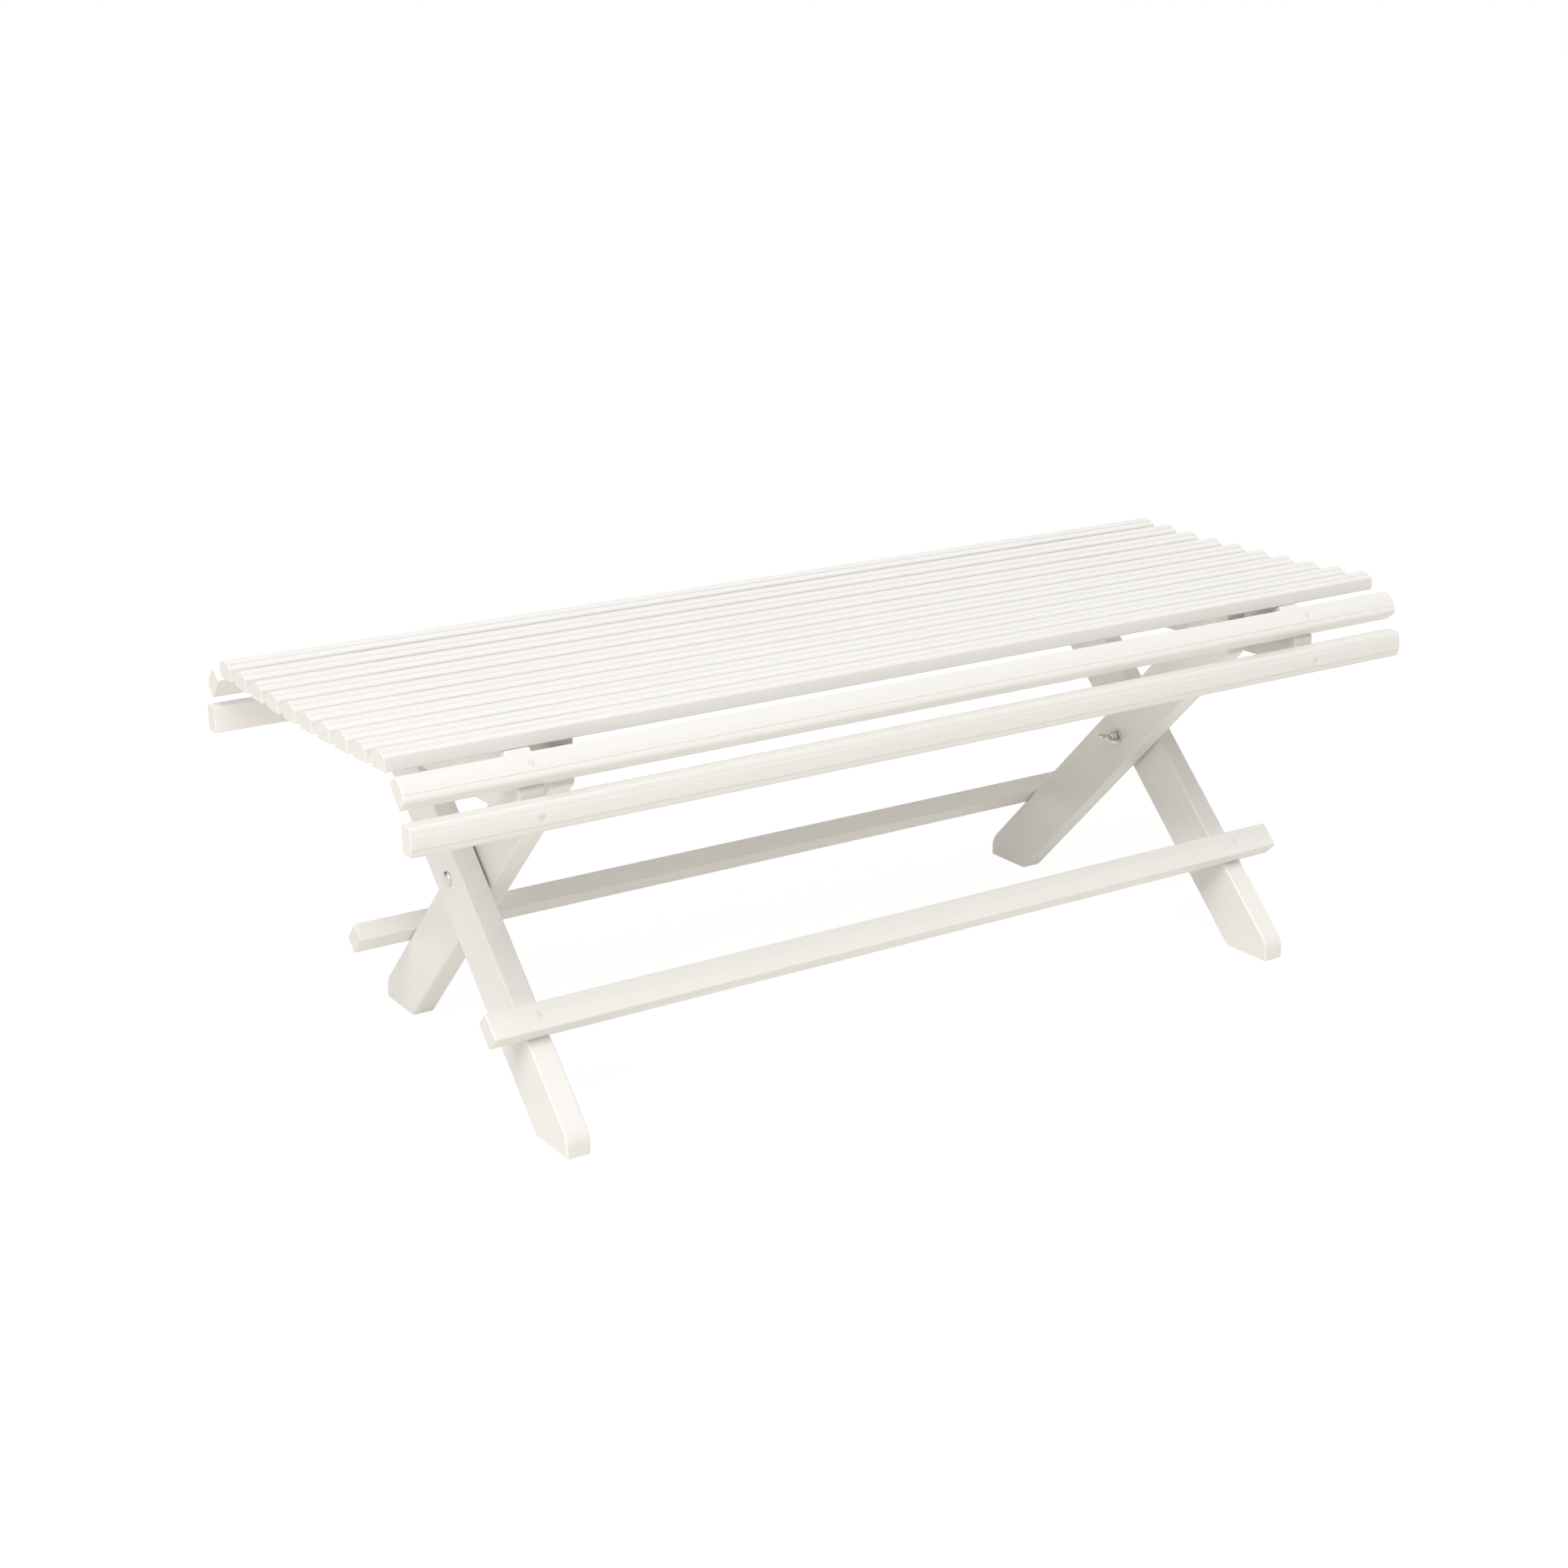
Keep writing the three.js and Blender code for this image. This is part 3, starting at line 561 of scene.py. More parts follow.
def moulded(section, size, place, low_x, high_x, ease, steps=EASE_STEPS):
    """A bar of a finished section, laid along X at a place; only its sawn ends are eased, and get slot 1."""
    y, z, lean = place
    cosine, sine = math.cos(lean), math.sin(lean)
    rings = []
    bm = bmesh.new()
    for step in range(2 * steps + 2):
        last = step > steps
        angle = QUARTER * (2 * steps + 1 - step if last else step) / steps
        x, inset = ease * (1 - math.cos(angle)), ease * (1 - math.sin(angle))
        loop = []
        for u, v in section:
            u *= 1 - 2 * inset / size[0]
            v = size[1] * HALF + (v - size[1] * HALF) * (1 - 2 * inset / size[1])
            loop.append(bm.verts.new((
                high_x - x if last else low_x + x, y + u * cosine - v * sine, z + u * sine + v * cosine,
            )))
        rings.append(loop)
    bm.faces.new(rings[0]).material_index = 1
    bm.faces.new(list(reversed(rings[-1]))).material_index = 1
    corners = [Vector(corner) for corner in section]
    sides = [after - before for before, after in zip(corners, corners[1:] + corners[:1])]
    lines = [here for here, side in enumerate(sides) if sides[here - 1].angle(side) > MOULDING_ANGLE]
    for lower, upper in zip(rings, rings[1:]):
        skin(bm, upper, lower)
        for here in lines:
            bm.edges.get((lower[here], upper[here])).smooth = False
    bmesh.ops.recalc_face_normals(bm, faces=bm.faces)
    return bm


def turned(stations, sides=BOLT_SIDES):
    """A turned form round X from pairs of place and radius, closed at both ends."""
    bm = bmesh.new()
    rings = [ring(bm, x, radius, sides) for x, radius in stations]
    for lower, upper in zip(rings, rings[1:]):
        skin(bm, lower, upper)
    bm.faces.new(rings[0])
    bm.faces.new(rings[-1])
    bmesh.ops.recalc_face_normals(bm, faces=bm.faces)
    return bm


def move(bm, offset):
    """Shift every point of a bmesh."""
    bmesh.ops.translate(bm, vec=offset, verts=bm.verts)
    return bm


def blend_in(bm, other):
    """Copy another bmesh into the first and free it."""
    scratch = bpy.data.meshes.new("scratch")
    other.to_mesh(scratch)
    other.free()
    bm.from_mesh(scratch)
    bpy.data.meshes.remove(scratch)
    return bm


def cut(piece, cutter_bm):
    """Cut a shape given in millimetres out of a piece."""
    bmesh.ops.scale(cutter_bm, vec=(MM, MM, MM), verts=cutter_bm.verts)
    mesh = bpy.data.meshes.new("cutter")
    cutter_bm.to_mesh(mesh)
    cutter_bm.free()
    cutter = bpy.data.objects.new("cutter", mesh)
    bpy.context.scene.collection.objects.link(cutter)
    modifier = piece.modifiers.new("cut", "BOOLEAN")
    modifier.operation = "DIFFERENCE"
    modifier.solver = "EXACT"
    modifier.object = cutter
    apply_modifiers(piece)
    bpy.data.objects.remove(cutter)
    bpy.data.meshes.remove(mesh)


def apply_modifiers(piece):
    """Write a piece's modifiers into its mesh."""
    bpy.context.view_layer.update()
    graph = bpy.context.evaluated_depsgraph_get()
    made = bpy.data.meshes.new_from_object(piece.evaluated_get(graph))
    old = piece.data
    piece.modifiers.clear()
    piece.data = made
    made.name = old.name
    bpy.data.meshes.remove(old)


def crease(piece, degrees):
    """Keep edges sharper than an angle crisp on a turned or pressed metal piece."""
    piece.data.set_sharp_from_angle(angle=math.radians(degrees))


# Shapes shared by several pieces.


def seat_edge():
    """Distance from the middle to the outermost top slat's centre."""
    slats = bpy.context.scene.bench_slats
    return (slats.count - 1) * slats.spacing * HALF


def dish_height(y):
    """Height of the dished line that the slats lie on."""
    slats = bpy.context.scene.bench_slats
    return slats.under + slats.dish * (y / seat_edge()) ** 2


def dish_lean(y):
    """Slope of that line."""
    slats = bpy.context.scene.bench_slats
    return math.atan(2 * slats.dish * y / seat_edge() ** 2)


def leg_point(side, along, across):
    """A point in a leg's own frame: along from the crossing upwards, across to its upper edge."""
    boards = bpy.context.scene.bench_boards
    cosine, sine = math.cos(boards.leg_angle), math.sin(boards.leg_angle)
    return (
        side * (along * cosine - across * sine),
        boards.crossing + along * sine + across * cosine,
    )


def along_at(height, across):
    """Where a leg's edge meets a height."""
    boards = bpy.context.scene.bench_boards
    cosine, sine = math.cos(boards.leg_angle), math.sin(boards.leg_angle)
    return (height - boards.crossing - across * cosine) / sine


def stretcher_drops():
    """Distance down the legs from the crossing to the front and the back stretcher."""
    boards = bpy.context.scene.bench_boards
    reach = boards.crossing / math.sin(boards.leg_angle)
    return reach - boards.front_rise, reach - boards.back_rise


def hinge_point():
    """Y and Z of the seat's hinge bolts."""
    boards = bpy.context.scene.bench_boards
    height = bpy.context.scene.bench_slats.under - boards.leg_width * HALF - boards.top_room
    return leg_point(1, along_at(height, 0.0), 0.0)


def slat_section(side, face_rise, step_drop):
    """Moulded section of a slat, with the middle of its flat face at zero."""
    slats = bpy.context.scene.bench_slats
    half, top = slats.width * HALF, slats.side + slats.crown - slats.paint_room
    face = half - slats.shoulder
    radius = (face * face + face_rise * face_rise) / (2 * face_rise)
    # Lower edge, side and rounded shoulder of one half, then half of the domed face.
    right = arc((half - slats.arris, slats.arris), slats.arris, -QUARTER, 0.0, LIP_STEPS)
    rise = top - face_rise - step_drop - side
    shoulder = arc((0.0, 0.0), 1.0, 0.0, QUARTER, SHOULDER_STEPS)
    right += [(face + slats.shoulder * out, side + rise * up) for out, up in shoulder]
    # A small step leads from the shoulder up to the face, and its edge is dulled by the paint.
    right.append((face - slats.step_lean, top - face_rise - step_drop * STEP_TOP_SHARE))
    spread = math.asin((face - slats.step_round) / radius)
    dome = arc((0.0, top - radius), radius, QUARTER - spread, QUARTER, SHOULDER_STEPS)
    right += dome[:-1]
    return right + [(0.0, top)] + [(-u, v) for u, v in reversed(right)]


def edge_slat_place(kind, side):
    """Centre of an edge slat's flat face, and its lean."""
    slats = bpy.context.scene.bench_slats
    if kind == "tilted":
        return side * (seat_edge() + slats.tilt_reach), slats.under - slats.tilt_drop, -side * slats.tilt
    bearer_low = slats.under - bpy.context.scene.bench_boards.bearer_depth
    return side * (seat_edge() + slats.upright_reach), bearer_low + slats.upright_rise, -side * QUARTER


def screw_places():
    """Each wood screw: node, body, X place, start on the wood's face, inward direction and carrier."""
    slats = bpy.context.scene.bench_slats
    boards = bpy.context.scene.bench_boards
    thickness = slats.side + slats.crown
    drops = stretcher_drops()
    places = []
    for side_word, side in SIDES:
        for end_word, _ in ENDS:
            low, high = node_span(f"{end_word}_bearer", 0)
            for kind in ("tilted", "upright"):
                y, z, lean = edge_slat_place(kind, side)
                outward = (-math.sin(lean), math.cos(lean))
                start = (y + outward[0] * thickness, z + outward[1] * thickness)
                places.append((
                    f"{side_word}_{end_word}_{kind}_slat_screw", "seat", (low + high) * HALF, start,
                    (-outward[0], -outward[1]), f"{side_word}_{kind}_slat",
                ))
            leg, body, drop, lead = (
                ("leg_a", "legs_a", drops[0], 1) if side < 0 else ("leg_b", "legs_b", drops[1], -1)
            )
            low, high = node_span(f"{end_word}_{leg}", 0)
            face = leg_point(lead, -drop, boards.leg_width * HALF + boards.clear + boards.stretcher_depth)
            inward = (lead * math.sin(boards.leg_angle), -math.cos(boards.leg_angle))
            places.append((
                f"{side_word}_{end_word}_stretcher_screw", body, (low + high) * HALF, face,
                inward, f"{side_word}_stretcher",
            ))
    return places


def screw_frame(x, start, inward):
    """Matrix that lays a form turned round X along a screw, starting at its face."""
    turn = Vector((1, 0, 0)).rotation_difference(Vector((0, inward[0], inward[1]))).to_matrix().to_4x4()
    return Matrix.Translation((x, start[0], start[1])) @ turn


def countersink(carrier_node, piece):
    """Cut the shallow countersinks of the screws that a board carries."""
    hardware = bpy.context.scene.bench_hardware
    radius, rim = hardware.screw + hardware.head_room, hardware.screw_rim
    hole = hardware.screw_shank + hardware.hole_room
    stations = (
        (-hardware.countersink, radius + rim), (0.0, radius + rim), (rim, radius),
        (hardware.screw_sink, radius), (hardware.countersink, hole), (hardware.hole_depth, hole),
    )
    for _, _, x, start, inward, carrier in screw_places():
        if carrier != carrier_node:
            continue
        bm = turned(stations, BORE_SIDES)
        bmesh.ops.transform(bm, matrix=screw_frame(x, start, inward), verts=bm.verts)
        cut(piece, bm)


# Operators, one for each group of like pieces.


class BENCH_OT_slats(bpy.types.Operator):
    """Build the ten top slats and the four edge slats"""

    bl_idname = "bench.slats"
    bl_label = "Seat slats"

    def execute(self, context):
        slats = context.scene.bench_slats
        jobs = []
        for index in range(slats.count):
            y = (index - (slats.count - 1) * HALF) * slats.spacing
            jobs.append((f"seat_slat_{index + 1}", "slat", (y, dish_height(y), dish_lean(y))))
        for side_word, side in SIDES:
            jobs.append((f"{side_word}_tilted_slat", "tilted", edge_slat_place("tilted", side)))
            jobs.append((f"{side_word}_upright_slat", "slat", edge_slat_place("upright", side)))
        size = (slats.width, slats.side + slats.crown)
        sections = {
            "seat": slat_section(slats.side, slats.face_rise, slats.step),
            "tilted": slat_section(slats.side, slats.tilted_face_rise, slats.edge_step),
            "upright": slat_section(slats.upright_side, slats.upright_face_rise, slats.edge_step),
        }
        for node, key, place in jobs:
            low, high = node_span(node, 0)
            section = next(sections[kind] for kind in sections if kind in node)
            bm = moulded(section, size, place, low, high, slats.end_ease)
            place_wood(node, bm, (key, "end"), "seat")
        return {"FINISHED"}


class BENCH_OT_bearers(bpy.types.Operator):
    """Build the two bearers under the slats and the stop blocks beside them"""

    bl_idname = "bench.bearers"
    bl_label = "Bearers and stops"

    def execute(self, context):
        slats = context.scene.bench_slats
        boards = context.scene.bench_boards
        low_z = slats.under - boards.bearer_depth
        end_y = seat_edge() + slats.upright_reach - boards.clear
        face_y = seat_edge() + slats.tilt_reach - boards.clear * math.sin(slats.tilt)
        face_z = slats.under - slats.tilt_drop - boards.clear * math.cos(slats.tilt)
        slope = math.tan(slats.tilt)
        end_top = face_z - (end_y - face_y) * slope
        corner_y = face_y
        for _ in range(CORNER_ROUNDS):
            corner_y = face_y - (dish_height(corner_y) - boards.clear - face_z) / slope
        outline = [(-end_y, low_z), (end_y, low_z), (end_y, end_top)]
        for step in range(DISH_STEPS + 1):
            y = corner_y * (1 - 2 * step / DISH_STEPS)
            outline.append((y, dish_height(y) - boards.clear))
        outline.append((-end_y, end_top))
        for end_word, _ in ENDS:
            node = f"{end_word}_bearer"
            low, high = node_span(node, 0)
            bm = board(outline, low, high, boards.arris, end_slot=0)
            bare_end_grain(place_wood(node, bm, ("bearer", "end"), "seat"), (1,), BEARER_END)
            node = f"{end_word}_leg_stop"
            low, high = node_span(node, 0)
            near_y, far_y = node_span(node, 1)
            low_z_stop, high_z = node_span(node, 2)
            block = [(near_y, low_z_stop), (far_y, low_z_stop), (far_y, high_z), (near_y, high_z)]
            bm = board(block, low, high, boards.arris * HALF, end_slot=1)
            place_wood(node, bm, ("bearer", "end"), "seat")
        return {"FINISHED"}


class BENCH_OT_legs(bpy.types.Operator):
    """Build the two crossed leg pairs"""

    bl_idname = "bench.legs"
    bl_label = "Legs"

    def foot(self, side, half, boards):
        """Corners of a foot: inner sole, tip on the floor and a rounded top of the upright cut."""
        inner = leg_point(side, along_at(0.0, -half), -half)
        top = leg_point(side, along_at(boards.tip, half), half)
        # An arc that leaves the upright cut and meets the leg's upper edge.
        turn = QUARTER - boards.leg_angle
        reach = boards.toe * math.tan(turn * HALF)
        centre_y, centre_z = top[0] + side * boards.toe, top[1] - reach
        bend = arc((0.0, 0.0), boards.toe, 0.0, turn, TOE_STEPS)
        toe = [(centre_y - side * out, centre_z + up) for out, up in bend]
        return inner, (top[0], 0.0), toe

    def execute(self, context):
        boards = context.scene.bench_boards
        half = boards.leg_width * HALF
        hinge_along = along_at(hinge_point()[1], 0.0)
        inner, tip, toe = self.foot(1, half, boards)
        outline_a = [tip, inner]
        round_top = arc((hinge_along, 0.0), half, -QUARTER, QUARTER, LEG_TOP_STEPS)
        outline_a += [leg_point(1, along, across) for along, across in round_top]
        outline_a += reversed(toe)
        inner, tip, toe = self.foot(-1, half, boards)
        front_y, _ = node_span("left_leg_b", 1)
        _, top_z = node_span("left_leg_b", 2)
        outline_b = [inner, tip, *toe, leg_point(-1, along_at(top_z, half), half)]
        corner = boards.corner
        round_corner = (front_y + corner, top_z - corner)
        outline_b += arc(round_corner, corner, QUARTER, 2 * QUARTER, LEG_CORNER_STEPS)
        low_along = (-front_y - half * math.sin(boards.leg_angle)) / math.cos(boards.leg_angle)
        outline_b.append(leg_point(-1, low_along, -half))
        for end_word, _ in ENDS:
            for leg, outline in (("leg_a", outline_a), ("leg_b", outline_b)):
                node = f"{end_word}_{leg}"
                low, high = node_span(node, 0)
                bm = board(outline, low, high, boards.arris, end_slot=0)
                body = "legs_a" if leg == "leg_a" else "legs_b"
                # The sole, the upright cut at the foot and the cuts at the top are sawn ends.
                bare_end_grain(place_wood(node, bm, (leg, "end"), body), (1, 2), LEG_END)
        return {"FINISHED"}


class BENCH_OT_stretchers(bpy.types.Operator):
    """Build the two stretchers that tie the leg pairs"""

    bl_idname = "bench.stretchers"
    bl_label = "Stretchers"

    def execute(self, context):
        boards = context.scene.bench_boards
        drops = stretcher_drops()
        for word, side, drop, body in (
            ("front", 1, drops[0], "legs_a"), ("back", -1, drops[1], "legs_b"),
        ):
            near = boards.leg_width * HALF + boards.clear
            far = near + boards.stretcher_depth
            half = boards.stretcher_width * HALF
            corners = ((-drop - half, near), (-drop + half, near), (-drop + half, far), (-drop - half, far))
            outline = [leg_point(side, along, across) for along, across in corners]
            node = f"{word}_stretcher"
            low, high = node_span(node, 0)
            bm = board(outline, low, high, boards.stretcher_round, steps=ROUNDED_STEPS)
            place_wood(node, bm, ("slat", "end"), body)
        return {"FINISHED"}


class BENCH_OT_bolts(bpy.types.Operator):
    """Build the crossing bolts and the hinge bolts with mushroom heads and cut threads"""

    bl_idname = "bench.bolts"
    bl_label = "Bolts"

    def bolt(self, low, high, hardware):
        """Stations of a bolt along X with its tail at the low end and its head at the high end."""
        radius, pitch = hardware.bolt, hardware.thread
        place = low + hardware.bolt_tail
        stations = [(low, radius * TAIL_SHARE), (place, radius)]
        while place + pitch < low + hardware.thread_length:
            stations += [(place + pitch * along, radius * out) for along, out in THREAD_SHARES]
            place += pitch
        head_low = high - hardware.head_rise
        stations.append((head_low, radius))
        mushroom = [(head_low + hardware.head_rise * up, hardware.head * out) for up, out in MUSHROOM_SHARES]
        return stations + mushroom

    def execute(self, context):
        hardware = context.scene.bench_hardware
        boards = context.scene.bench_boards
        hinge = hinge_point()
        for end_word, end in ENDS:
            for kind, centre, body in (
                ("crossing", (0.0, boards.crossing), "legs_a"), ("hinge", hinge, "seat"),
            ):
                node = f"{end_word}_{kind}_bolt"
                low, high = node_span(node, 0)
                tail, head = (low, high) if end > 0 else (-high, -low)
                bm = turned(self.bolt(tail, head, hardware))
                if end < 0:
                    bmesh.ops.scale(bm, vec=(-1, 1, 1), verts=bm.verts)
                move(bm, (0.0, centre[0], centre[1]))
                place_zinc(node, bm, body, BOLT_CREASE)
        return {"FINISHED"}


class BENCH_OT_washers(bpy.types.Operator):
    """Build the washers and the hidden hinge nuts"""

    bl_idname = "bench.washers"
    bl_label = "Washers and hinge nuts"

    def flat_ring(self, low, high, outer, inner, sides, ease):
        """A flat ring round X with eased rims."""
        bm = bmesh.new()
        profile = (
            (low, inner), (low, outer - ease), (low + ease, outer), (high - ease, outer),
            (high, outer - ease), (high, inner),
        )
        loops = [ring(bm, x, radius, sides) for x, radius in profile]
        for loop, following in zip(loops, loops[1:] + loops[:1]):
            skin(bm, loop, following)
        return bm

    def execute(self, context):
        hardware = context.scene.bench_hardware
        boards = context.scene.bench_boards
        hinge = hinge_point()
        crossing = (0.0, boards.crossing)
        bore = hardware.bolt + boards.clear
        for end_word, _ in ENDS:
            for node, centre, body in (
                (f"{end_word}_crossing_spacer_washer", crossing, "legs_a"),
                (f"{end_word}_wing_nut_washer", crossing, "legs_b"),
                (f"{end_word}_hinge_washer", hinge, "seat"),
            ):
                low, high = node_span(node, 0)
                near, far = node_span(node, 1)
                bm = self.flat_ring(low, high, (far - near) * HALF, bore, WASHER_SIDES, hardware.washer_ease)
                move(bm, (0.0, centre[0], centre[1]))
                place_zinc(node, bm, body, WASHER_CREASE)
            node = f"{end_word}_hinge_nut"
            low, high = node_span(node, 0)
            near, far = node_span(node, 2)
            bm = self.flat_ring(low, high, (far - near) * HALF, bore, NUT_SIDES, hardware.nut_ease)
            bmesh.ops.rotate(bm, matrix=Matrix.Rotation(QUARTER, 3, "X"), verts=bm.verts)
            move(bm, (0.0, hinge[0], hinge[1]))
            place_zinc(node, bm, "seat", NUT_CREASE)
        return {"FINISHED"}


class BENCH_OT_wing_nuts(bpy.types.Operator):
    """Build the two cast wing nuts"""

    bl_idname = "bench.wing_nuts"
    bl_label = "Wing nuts"

    def wing(self, base, inwards, hand, hardware):
        """One wing: a plate in the X and Y plane with a round tip."""
        radius = hardware.wing_tip
        centre = (hardware.wing_span * HALF - radius, hardware.wing_rise - radius)
        root = hardware.bolt * HALF
        points = [(root, root), (hardware.wing_foot, root)]
        points += arc(centre, radius, -QUARTER * HALF, math.pi, WING_STEPS)
        points += [(radius, hardware.wing_root), (root, hardware.wing_root)]
        thick = hardware.wing_thickness * HALF
        return plate(*[[(base + inwards * v, hand * u, z) for u, v in points] for z in (-thick, thick)])

    def execute(self, context):
        hardware = context.scene.bench_hardware
        boards = context.scene.bench_boards
        for end_word, end in ENDS:
            node = f"{end_word}_wing_nut"
            low, high = node_span(node, 0)
            base = high if end > 0 else low
            inwards = -end
            stations = [
                (base + inwards * hardware.hub_rise * up, hardware.hub * out) for up, out in HUB_SHARES
            ]
            bm = turned(stations if inwards > 0 else list(reversed(stations)))
            for hand in (-1, 1):
                blend_in(bm, self.wing(base, inwards, hand, hardware))
            move(bm, (0.0, 0.0, boards.crossing))
            piece = place_piece(f"{node}_steel", bm, ("zinc",), f"wing_nut_{end_word}", node)
            fused = piece.modifiers.new("cast in one", "REMESH")
            fused.mode = "VOXEL"
            fused.voxel_size = CAST_GRAIN
            fused.use_smooth_shade = True
            eased = piece.modifiers.new("cast fillets", "CORRECTIVE_SMOOTH")
            eased.factor = FILLET_STRENGTH
            eased.iterations = FILLET_ROUNDS
            eased.use_only_smooth = True
            apply_modifiers(piece)
            radius = hardware.bolt + hardware.bore_room
            bore = turned(((low - OVERRUN, radius), (high + OVERRUN, radius)), BORE_SIDES)
            move(bore, (0.0, 0.0, boards.crossing))
            cut(piece, bore)
            piece.data.shade_smooth()
            crease(piece, WING_CREASE)
            check_fit(piece, node)
        return {"FINISHED"}


class BENCH_OT_screws(bpy.types.Operator):
    """Build the lacquered countersunk screws with cross recesses"""

    bl_idname = "bench.screws"
    bl_label = "Wood screws"

    def execute(self, context):
        hardware = context.scene.bench_hardware
        for node, body, x, start, inward, _ in screw_places():
            length = hardware.long_screw if "stretcher" in node else hardware.short_screw
            sink, rim = hardware.screw_sink, hardware.screw_rim
            radius, shank = hardware.screw, hardware.screw_shank
            stations = [
                (sink, radius - rim), (sink + rim, radius), (sink + hardware.screw_cone, shank),
                (sink + length - hardware.screw_tip, shank), (sink + length, hardware.tip_radius),
            ]
            bm = turned(stations, SCREW_SIDES)
            bmesh.ops.transform(bm, matrix=screw_frame(x, start, inward), verts=bm.verts)
            piece = place_piece(f"{node}_steel", bm, ("screw",), body, node)
            for wide, tall in (
                (hardware.recess, hardware.recess_slot), (hardware.recess_slot, hardware.recess),
            ):
                slot = bmesh.new()
                bmesh.ops.create_cube(slot, size=1.0)
                bmesh.ops.scale(slot, vec=(2 * hardware.recess_depth, wide, tall), verts=slot.verts)
                move(slot, (sink, 0.0, 0.0))
                bmesh.ops.transform(slot, matrix=screw_frame(x, start, inward), verts=slot.verts)
                cut(piece, slot)
            crease(piece, SCREW_CREASE)
        return {"FINISHED"}


class BENCH_OT_stage(bpy.types.Operator):
    """Set the studio: pale floor, black card, soft light all round, high light, side panel and camera"""

    bl_idname = "bench.stage"
    bl_label = "Studio"

    def seen(self, tree):
        """One for rays from the camera, off shiny surfaces and through clear ones, and zero for the rest."""
        path = add_node(tree, "ShaderNodeLightPath")
        share = path.outputs["Is Camera Ray"]
        for rays in ("Is Glossy Ray", "Is Transmission Ray"):
            inputs = {0: share, 1: path.outputs[rays]}
            share = add_node(tree, "ShaderNodeMath", {"operation": "MAXIMUM"}, inputs).outputs[0]
        return share

    def sheet(self, name, corners, material):
        """A flat sheet of the studio."""
        mesh = bpy.data.meshes.new(name)
        mesh.from_pydata(corners, [], [range(len(corners))])
        mesh.materials.append(material)
        sheet = bpy.data.objects.new(name, mesh)
        bpy.context.scene.collection.objects.link(sheet)
        return sheet

    def floor(self, colours, studio):
        """A wide pale floor that shows the background to the camera and keeps a faint shadow."""
        material, tree = new_material("matt_studio_paper")
        # The camera and mirrors see paper that glows almost to white, with a share of its real shading left,
        # so the object's shadow stays; every other ray meets pale paper that also glows faintly, a painted
        # bounce light that lights the bench from below.
        seen = self.seen(tree)
        pale = linear(colours.floor)
        glow_strength = add_node(
            tree, "ShaderNodeMapRange", {}, {"Value": seen, "To Min": studio.bounce, "To Max": studio.glow},
        )
        paper_colour = mixed_colour(tree, seen, pale, linear(colours.floor_shade))
        paper = add_node(tree, "ShaderNodeBsdfDiffuse", {}, {"Color": paper_colour})
        glow = add_node(
            tree, "ShaderNodeEmission", {},
            {"Color": mixed_colour(tree, seen, pale, WHITE), "Strength": glow_strength.outputs[0]},
        )
        lit = add_node(tree, "ShaderNodeAddShader", {}, {0: paper.outputs[0], 1: glow.outputs[0]})
        add_node(tree, "ShaderNodeOutputMaterial", {}, {"Surface": lit.outputs[0]})
        reach, low = studio.floor_reach, -studio.floor_drop
        corners = [(reach * x, reach * y, low) for x, y in ((-1, -1), (1, -1), (1, 1), (-1, 1))]
        self.sheet("studio_floor", corners, material)

    def flag(self, colours, studio):
        """A black card behind at the left that only shiny surfaces see, so metal shows its form."""
        material, tree = new_material("black_felt")
        felt = add_node(tree, "ShaderNodeBsdfDiffuse", {}, {"Color": linear(colours.felt)})
        add_node(tree, "ShaderNodeOutputMaterial", {}, {"Surface": felt.outputs[0]})
        left, back, low = studio.flag_place
        right, high = left + studio.flag_width, low + studio.flag_height
        corners = [(left, back, low), (right, back, low), (right, back, high), (left, back, high)]
        card = self.sheet("black_flag", corners, material)
        for rays in ("camera", "diffuse", "transmission", "volume_scatter", "shadow"):
            setattr(card, f"visible_{rays}", False)

    def world(self, studio):
        """Soft light on the object, stronger from above than from the sides, plain white to the camera."""
        world = bpy.data.worlds.new("studio")
        world.use_nodes = True
        tree = world.node_tree
        tree.nodes.clear()
        seen = self.seen(tree)
        coords = add_node(tree, "ShaderNodeTexCoord")
        split = add_node(tree, "ShaderNodeSeparateXYZ", {}, {"Vector": coords.outputs["Generated"]})
        strength = add_node(
            tree, "ShaderNodeMapRange", {"interpolation_type": "SMOOTHSTEP"},
            {
                "Value": split.outputs["Z"], "From Min": 0.0, "From Max": FULL_LIGHT_HEIGHT,
                "To Min": studio.horizon, "To Max": studio.ambient,
            },
        )
        soft = add_node(
            tree, "ShaderNodeBackground", {}, {"Color": SOFT_WHITE, "Strength": strength.outputs[0]},
        )
        white = add_node(tree, "ShaderNodeBackground", {}, {"Color": WHITE, "Strength": 1.0})
        mixed = add_node(
            tree, "ShaderNodeMixShader", {}, {0: seen, 1: soft.outputs[0], 2: white.outputs[0]},
        )
        add_node(tree, "ShaderNodeOutputWorld", {}, {"Surface": mixed.outputs[0]})
        bpy.context.scene.world = world

    def hang(self, name, data, place, towards):
        """Put a light in place, shining towards a direction."""
        lamp = bpy.data.objects.new(name, data)
        turn = Vector(towards).to_track_quat("-Z", "Y").to_matrix().to_4x4()
        lamp.matrix_world = Matrix.Translation(place) @ turn
        bpy.context.scene.collection.objects.link(lamp)

    def overhead(self, studio):
        """A broad soft light from above, a little from the front and left."""
        data = bpy.data.lights.new("overhead_softbox", "SUN")
        data.energy = studio.overhead
        data.angle = studio.softness
        self.hang("overhead_softbox", data, (0.0, 0.0, 0.0), studio.overhead_way)

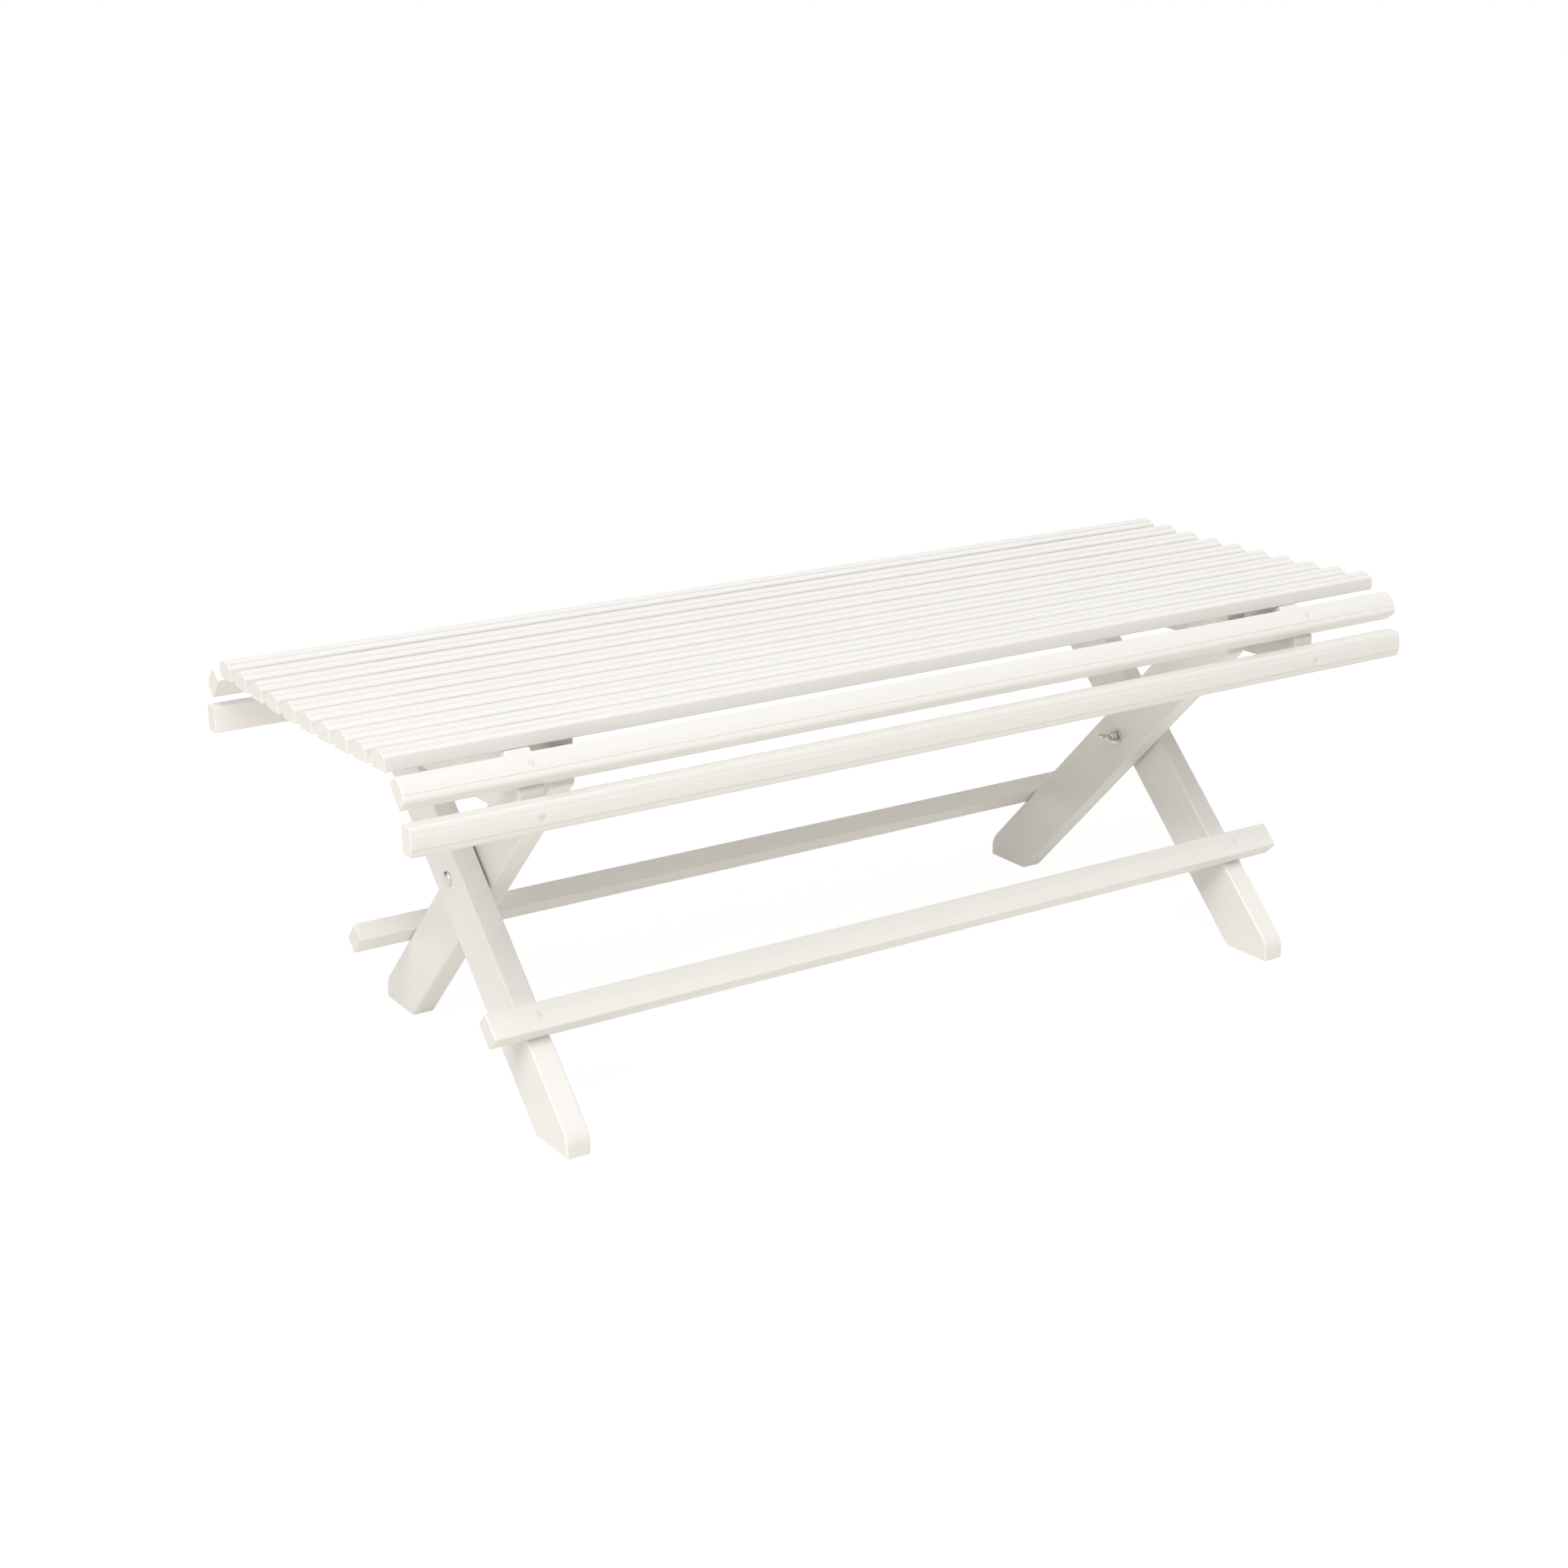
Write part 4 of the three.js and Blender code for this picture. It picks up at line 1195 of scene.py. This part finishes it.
    def panel(self, studio):
        """A big panel at the front left, which leaves the far end a little darker."""
        data = bpy.data.lights.new("side_panel", "AREA")
        data.energy = studio.side
        data.shape = "SQUARE"
        data.size = studio.side_size
        place = Vector(studio.side_place)
        self.hang("side_panel", data, place, Vector(studio.side_aim) - place)

    def camera(self, studio):
        """The photograph's viewing angle."""
        data = bpy.data.cameras.new("camera")
        data.lens = studio.lens
        data.sensor_width = SENSOR
        data.sensor_fit = "HORIZONTAL"
        data.clip_end = FAR
        camera = bpy.data.objects.new("camera", data)
        forward = Vector((
            math.sin(studio.yaw) * math.cos(studio.pitch),
            math.cos(studio.yaw) * math.cos(studio.pitch),
            -math.sin(studio.pitch),
        ))
        right = Vector((math.cos(studio.yaw), -math.sin(studio.yaw), 0.0))
        up = right.cross(forward)
        cosine, sine = math.cos(studio.roll), math.sin(studio.roll)
        right_rolled = cosine * right + sine * up
        up_rolled = -sine * right + cosine * up
        turn = Matrix((right_rolled, up_rolled, -forward)).transposed()
        camera.matrix_world = Matrix.Translation(Vector(studio.place)) @ turn.to_4x4()
        bpy.context.scene.collection.objects.link(camera)
        bpy.context.scene.camera = camera

    def execute(self, context):
        studio = context.scene.bench_studio
        colours = context.scene.bench_colours
        self.floor(colours, studio)
        self.flag(colours, studio)
        self.world(studio)
        self.overhead(studio)
        self.panel(studio)
        self.camera(studio)
        context.scene.view_settings.view_transform = "Standard"
        return {"FINISHED"}


class BENCH_PT_panel(bpy.types.Panel):
    """Lists the sizes, the colours and the building steps"""

    bl_idname = "BENCH_PT_panel"
    bl_label = "Folding Slatted Bench"
    bl_space_type = "VIEW_3D"
    bl_region_type = "UI"
    bl_category = "Bench"

    def draw(self, context):
        for group, title, name in GROUPS:
            box = self.layout.box()
            box.label(text=title)
            for field in group.__annotations__:
                box.prop(getattr(context.scene, name), field)
        for operator in OPERATORS:
            self.layout.operator(operator.bl_idname)


GROUPS = (
    (BenchSlatSizes, "Slats", "bench_slats"),
    (BenchBoardSizes, "Legs, bearers and stretchers", "bench_boards"),
    (BenchHardwareSizes, "Hardware", "bench_hardware"),
    (BenchColours, "Colours", "bench_colours"),
    (BenchStudio, "Studio", "bench_studio"),
)
OPERATORS = (
    BENCH_OT_slats, BENCH_OT_bearers, BENCH_OT_legs, BENCH_OT_stretchers, BENCH_OT_bolts,
    BENCH_OT_washers, BENCH_OT_wing_nuts, BENCH_OT_screws, BENCH_OT_stage,
)


def register():
    """Register the classes and hang their settings on the scene."""
    for group, _, name in GROUPS:
        bpy.utils.register_class(group)
        setattr(bpy.types.Scene, name, PointerProperty(type=group))
    for operator in OPERATORS:
        bpy.utils.register_class(operator)
    bpy.utils.register_class(BENCH_PT_panel)


def unregister():
    """Take everything away again."""
    bpy.utils.unregister_class(BENCH_PT_panel)
    for operator in reversed(OPERATORS):
        bpy.utils.unregister_class(operator)
    for group, _, name in reversed(GROUPS):
        delattr(bpy.types.Scene, name)
        bpy.utils.unregister_class(group)


def main():
    """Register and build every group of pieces."""
    register()
    bpy.ops.bench.slats()
    bpy.ops.bench.bearers()
    bpy.ops.bench.legs()
    bpy.ops.bench.stretchers()
    bpy.ops.bench.bolts()
    bpy.ops.bench.washers()
    bpy.ops.bench.wing_nuts()
    bpy.ops.bench.screws()
    bpy.ops.bench.stage()


if __name__ == "__main__":
    main()
